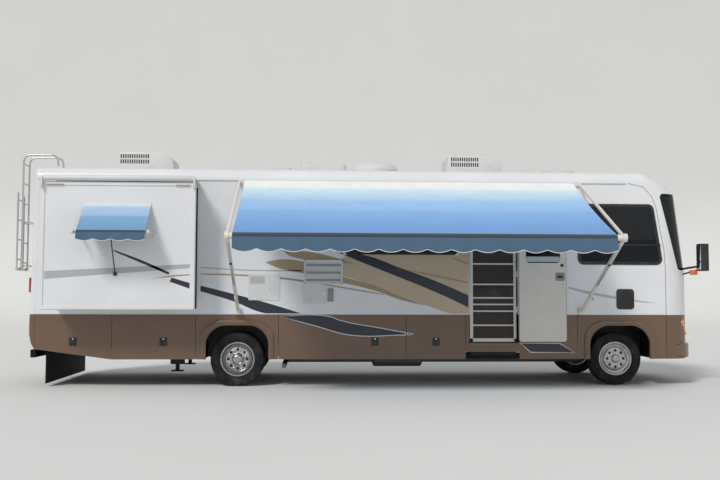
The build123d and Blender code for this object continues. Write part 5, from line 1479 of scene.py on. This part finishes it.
class MOTORHOME_OT_underside(bpy.types.Operator):
    """The raised levelling legs behind the rear axle, and a dark plate of painted shade behind the step"""
    bl_idname = "motorhome.underside"
    bl_label = "Underside"

    def execute(self, context):
        for side, sign in SIDES:
            x, y, arm_y = -3.855, sign * 0.720, sign * 0.455
            low_y, high_y = sorted((y, y - sign * 0.270))
            leg = [
                slab("leg_body", (x - 0.105, y - 0.055, 0.300), (x + 0.105, y + 0.055, 0.480), 0.008),
                bar("leg_post", (x, y, 0.205), (x, y, 0.310), 0.032, 24, 0.003),
                slab("leg_foot", (x - 0.090, y - 0.080, 0.190), (x + 0.090, y + 0.080, 0.206), 0.004),
                slab("leg_hanger", (x - 0.035, low_y, 0.470), (x + 0.035, high_y, 0.500), 0.004),
                slab("leg_bracket", (x - 0.035, arm_y - 0.012, 0.470), (x + 0.035, arm_y + 0.012, 0.640), 0.004),
            ]
            settle(joined(f"levelling_leg_{side}", leg), "underbody", "chassis_black")
        # A dark plate that paints the shade seen through the step's opening
        boxes([("step_apron", (0.500, -0.816, 0.395), (1.620, -0.812, 0.480), 0.001, "underbody", "chassis_black")])
        return {"FINISHED"}


# Lamps, mirrors and seats

# Front marker lamps: X, distance from the centre line, Z, radius
MARKERS = [(3.948, 1.150, 0.951, 0.058), (4.006, 1.100, 0.799, 0.034)]


class MOTORHOME_OT_lamps(bpy.types.Operator):
    """Headlamps, tail lamps and marker lamps"""
    bl_idname = "motorhome.lamps"
    bl_label = "Lamps"

    def execute(self, context):
        lamps = dress(node_copy("lamps", "headlamp_and_tail_lamp_bodies", 30), "lamp_red", "lamp_red")
        lamps.data.materials.append(MATERIALS["clear_lens"])
        for face in lamps.data.polygons:
            face.material_index = 1 if face.center.x > 0 else 0
        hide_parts("lamps")
        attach(lamps, "coach")
        for side, sign in SIDES:
            for n, (x, y, z, radius) in enumerate(MARKERS):
                place = Vector((x, sign * y, z))
                end = place + Vector((0.76, sign * 0.65, 0)) * 0.030
                settle(bar(f"front_marker_{side}_{n}", place, end, radius, 28, 0.008), "amber", "lamp_red")
        return {"FINISHED"}


class MOTORHOME_OT_mirrors(bpy.types.Operator):
    """Mirror glass and the lamps under the mirrors"""
    bl_idname = "motorhome.mirrors"
    bl_label = "Mirrors"

    def execute(self, context):
        for side, sign in SIDES:
            y, lamp_y = sign * 1.500, sign * 1.400
            boxes([
                (f"mirror_glass_{side}", (4.0905, y - 0.078, 1.900), (4.0945, y + 0.078, 2.140), 0.001,
                 "mirror", "bright_metal"),
                (f"mirror_spot_glass_{side}", (4.0905, y - 0.078, 1.770), (4.0945, y + 0.078, 1.888), 0.001,
                 "mirror", "bright_metal"),
                (f"mirror_lamp_{side}", (3.997, lamp_y - 0.030, 1.691), (4.105, lamp_y + 0.030, 1.767), 0.012,
                 "amber", "lamp_red"),
            ])
        return {"FINISHED"}


def crown(obj, axis):
    """Swell a cushion towards the middle of its broad faces."""
    points = [v.co.copy() for v in obj.data.vertices]
    low, high = Vector(map(min, *points)), Vector(map(max, *points))
    for vertex in obj.data.vertices:
        share = [2 * (vertex.co[k] - low[k]) / (high[k] - low[k]) - 1 for k in range(3)]
        swell = 0.018
        for k in range(3):
            if k != axis:
                swell *= 1 - share[k] ** 2
        vertex.co[axis] += swell * (1 if share[axis] > 0 else -0.3)


def recline(obj, z, slope):
    """Lean a backrest by moving its points in X as they rise above Z."""
    for vertex in obj.data.vertices:
        vertex.co.x += (vertex.co.z - z) * slope


class MOTORHOME_OT_seats(bpy.types.Operator):
    """Two padded cab seats"""
    bl_idname = "motorhome.seats"
    bl_label = "Cab seats"

    def execute(self, context):
        for side, sign in SIDES:
            y = sign * 0.560
            cushion = slab(f"seat_cushion_{side}", (2.750, y - 0.250, 1.340), (3.250, y + 0.250, 1.470), 0.045, 4)
            back = slab(f"seat_back_{side}", (2.700, y - 0.240, 1.480), (2.810, y + 0.240, 2.120), 0.045, 4)
            for obj, axis in ((cushion, 2), (back, 0)):
                edit(obj, (bpy.ops.mesh.subdivide, {"number_cuts": 3}))
                modified(obj, "SUBSURF", levels=1, render_levels=1)
                crown(obj, axis)
                if obj == back:
                    recline(obj, 1.480, -0.19)
                settle(obj, "seat_cloth", "seat_cloth", angle=60)
            box_piece = slab(f"seat_box_{side}", (2.880, y - 0.160, 1.0785), (3.180, y + 0.160, 1.345), 0.006)
            settle(box_piece, "dash_plastic", "dash_plastic")
            if side == "curb":
                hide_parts("seats")
        return {"FINISHED"}


# Order of making

OPERATORS = (
    MOTORHOME_OT_finishes, MOTORHOME_OT_shells, MOTORHOME_OT_striping, MOTORHOME_OT_wheel_wells,
    MOTORHOME_OT_wheels, MOTORHOME_OT_main_awning, MOTORHOME_OT_window_awning, MOTORHOME_OT_topper,
    MOTORHOME_OT_screen_door, MOTORHOME_OT_entry_door, MOTORHOME_OT_wall_details, MOTORHOME_OT_roof,
    MOTORHOME_OT_underside, MOTORHOME_OT_lamps, MOTORHOME_OT_mirrors, MOTORHOME_OT_seats, MOTORHOME_OT_stage,
)
SETTINGS = (
    ("motorhome_finish", FinishSettings), ("motorhome_awning", AwningSettings), ("motorhome_wheels", WheelSettings),
)


class MOTORHOME_PT_panel(bpy.types.Panel):
    """Settings and steps of the motorhome"""
    bl_idname = "MOTORHOME_PT_panel"
    bl_label = "Motorhome"
    bl_space_type = "VIEW_3D"
    bl_region_type = "UI"
    bl_category = "Motorhome"

    def draw(self, context):
        for name, group in SETTINGS:
            box = self.layout.box()
            for key in group.__annotations__:
                box.prop(getattr(context.scene, name), key)
        for operator in OPERATORS:
            self.layout.operator(operator.bl_idname)


def register():
    for name, group in SETTINGS:
        bpy.utils.register_class(group)
        setattr(bpy.types.Scene, name, bpy.props.PointerProperty(type=group))
    for item in (*OPERATORS, MOTORHOME_PT_panel):
        bpy.utils.register_class(item)


def unregister():
    for item in (MOTORHOME_PT_panel, *reversed(OPERATORS)):
        bpy.utils.unregister_class(item)
    for name, group in reversed(SETTINGS):
        delattr(bpy.types.Scene, name)
        bpy.utils.unregister_class(group)


def main():
    register()
    for operator in OPERATORS:
        group, step = operator.bl_idname.split(".")
        getattr(getattr(bpy.ops, group), step)()


if __name__ == "__main__":
    main()
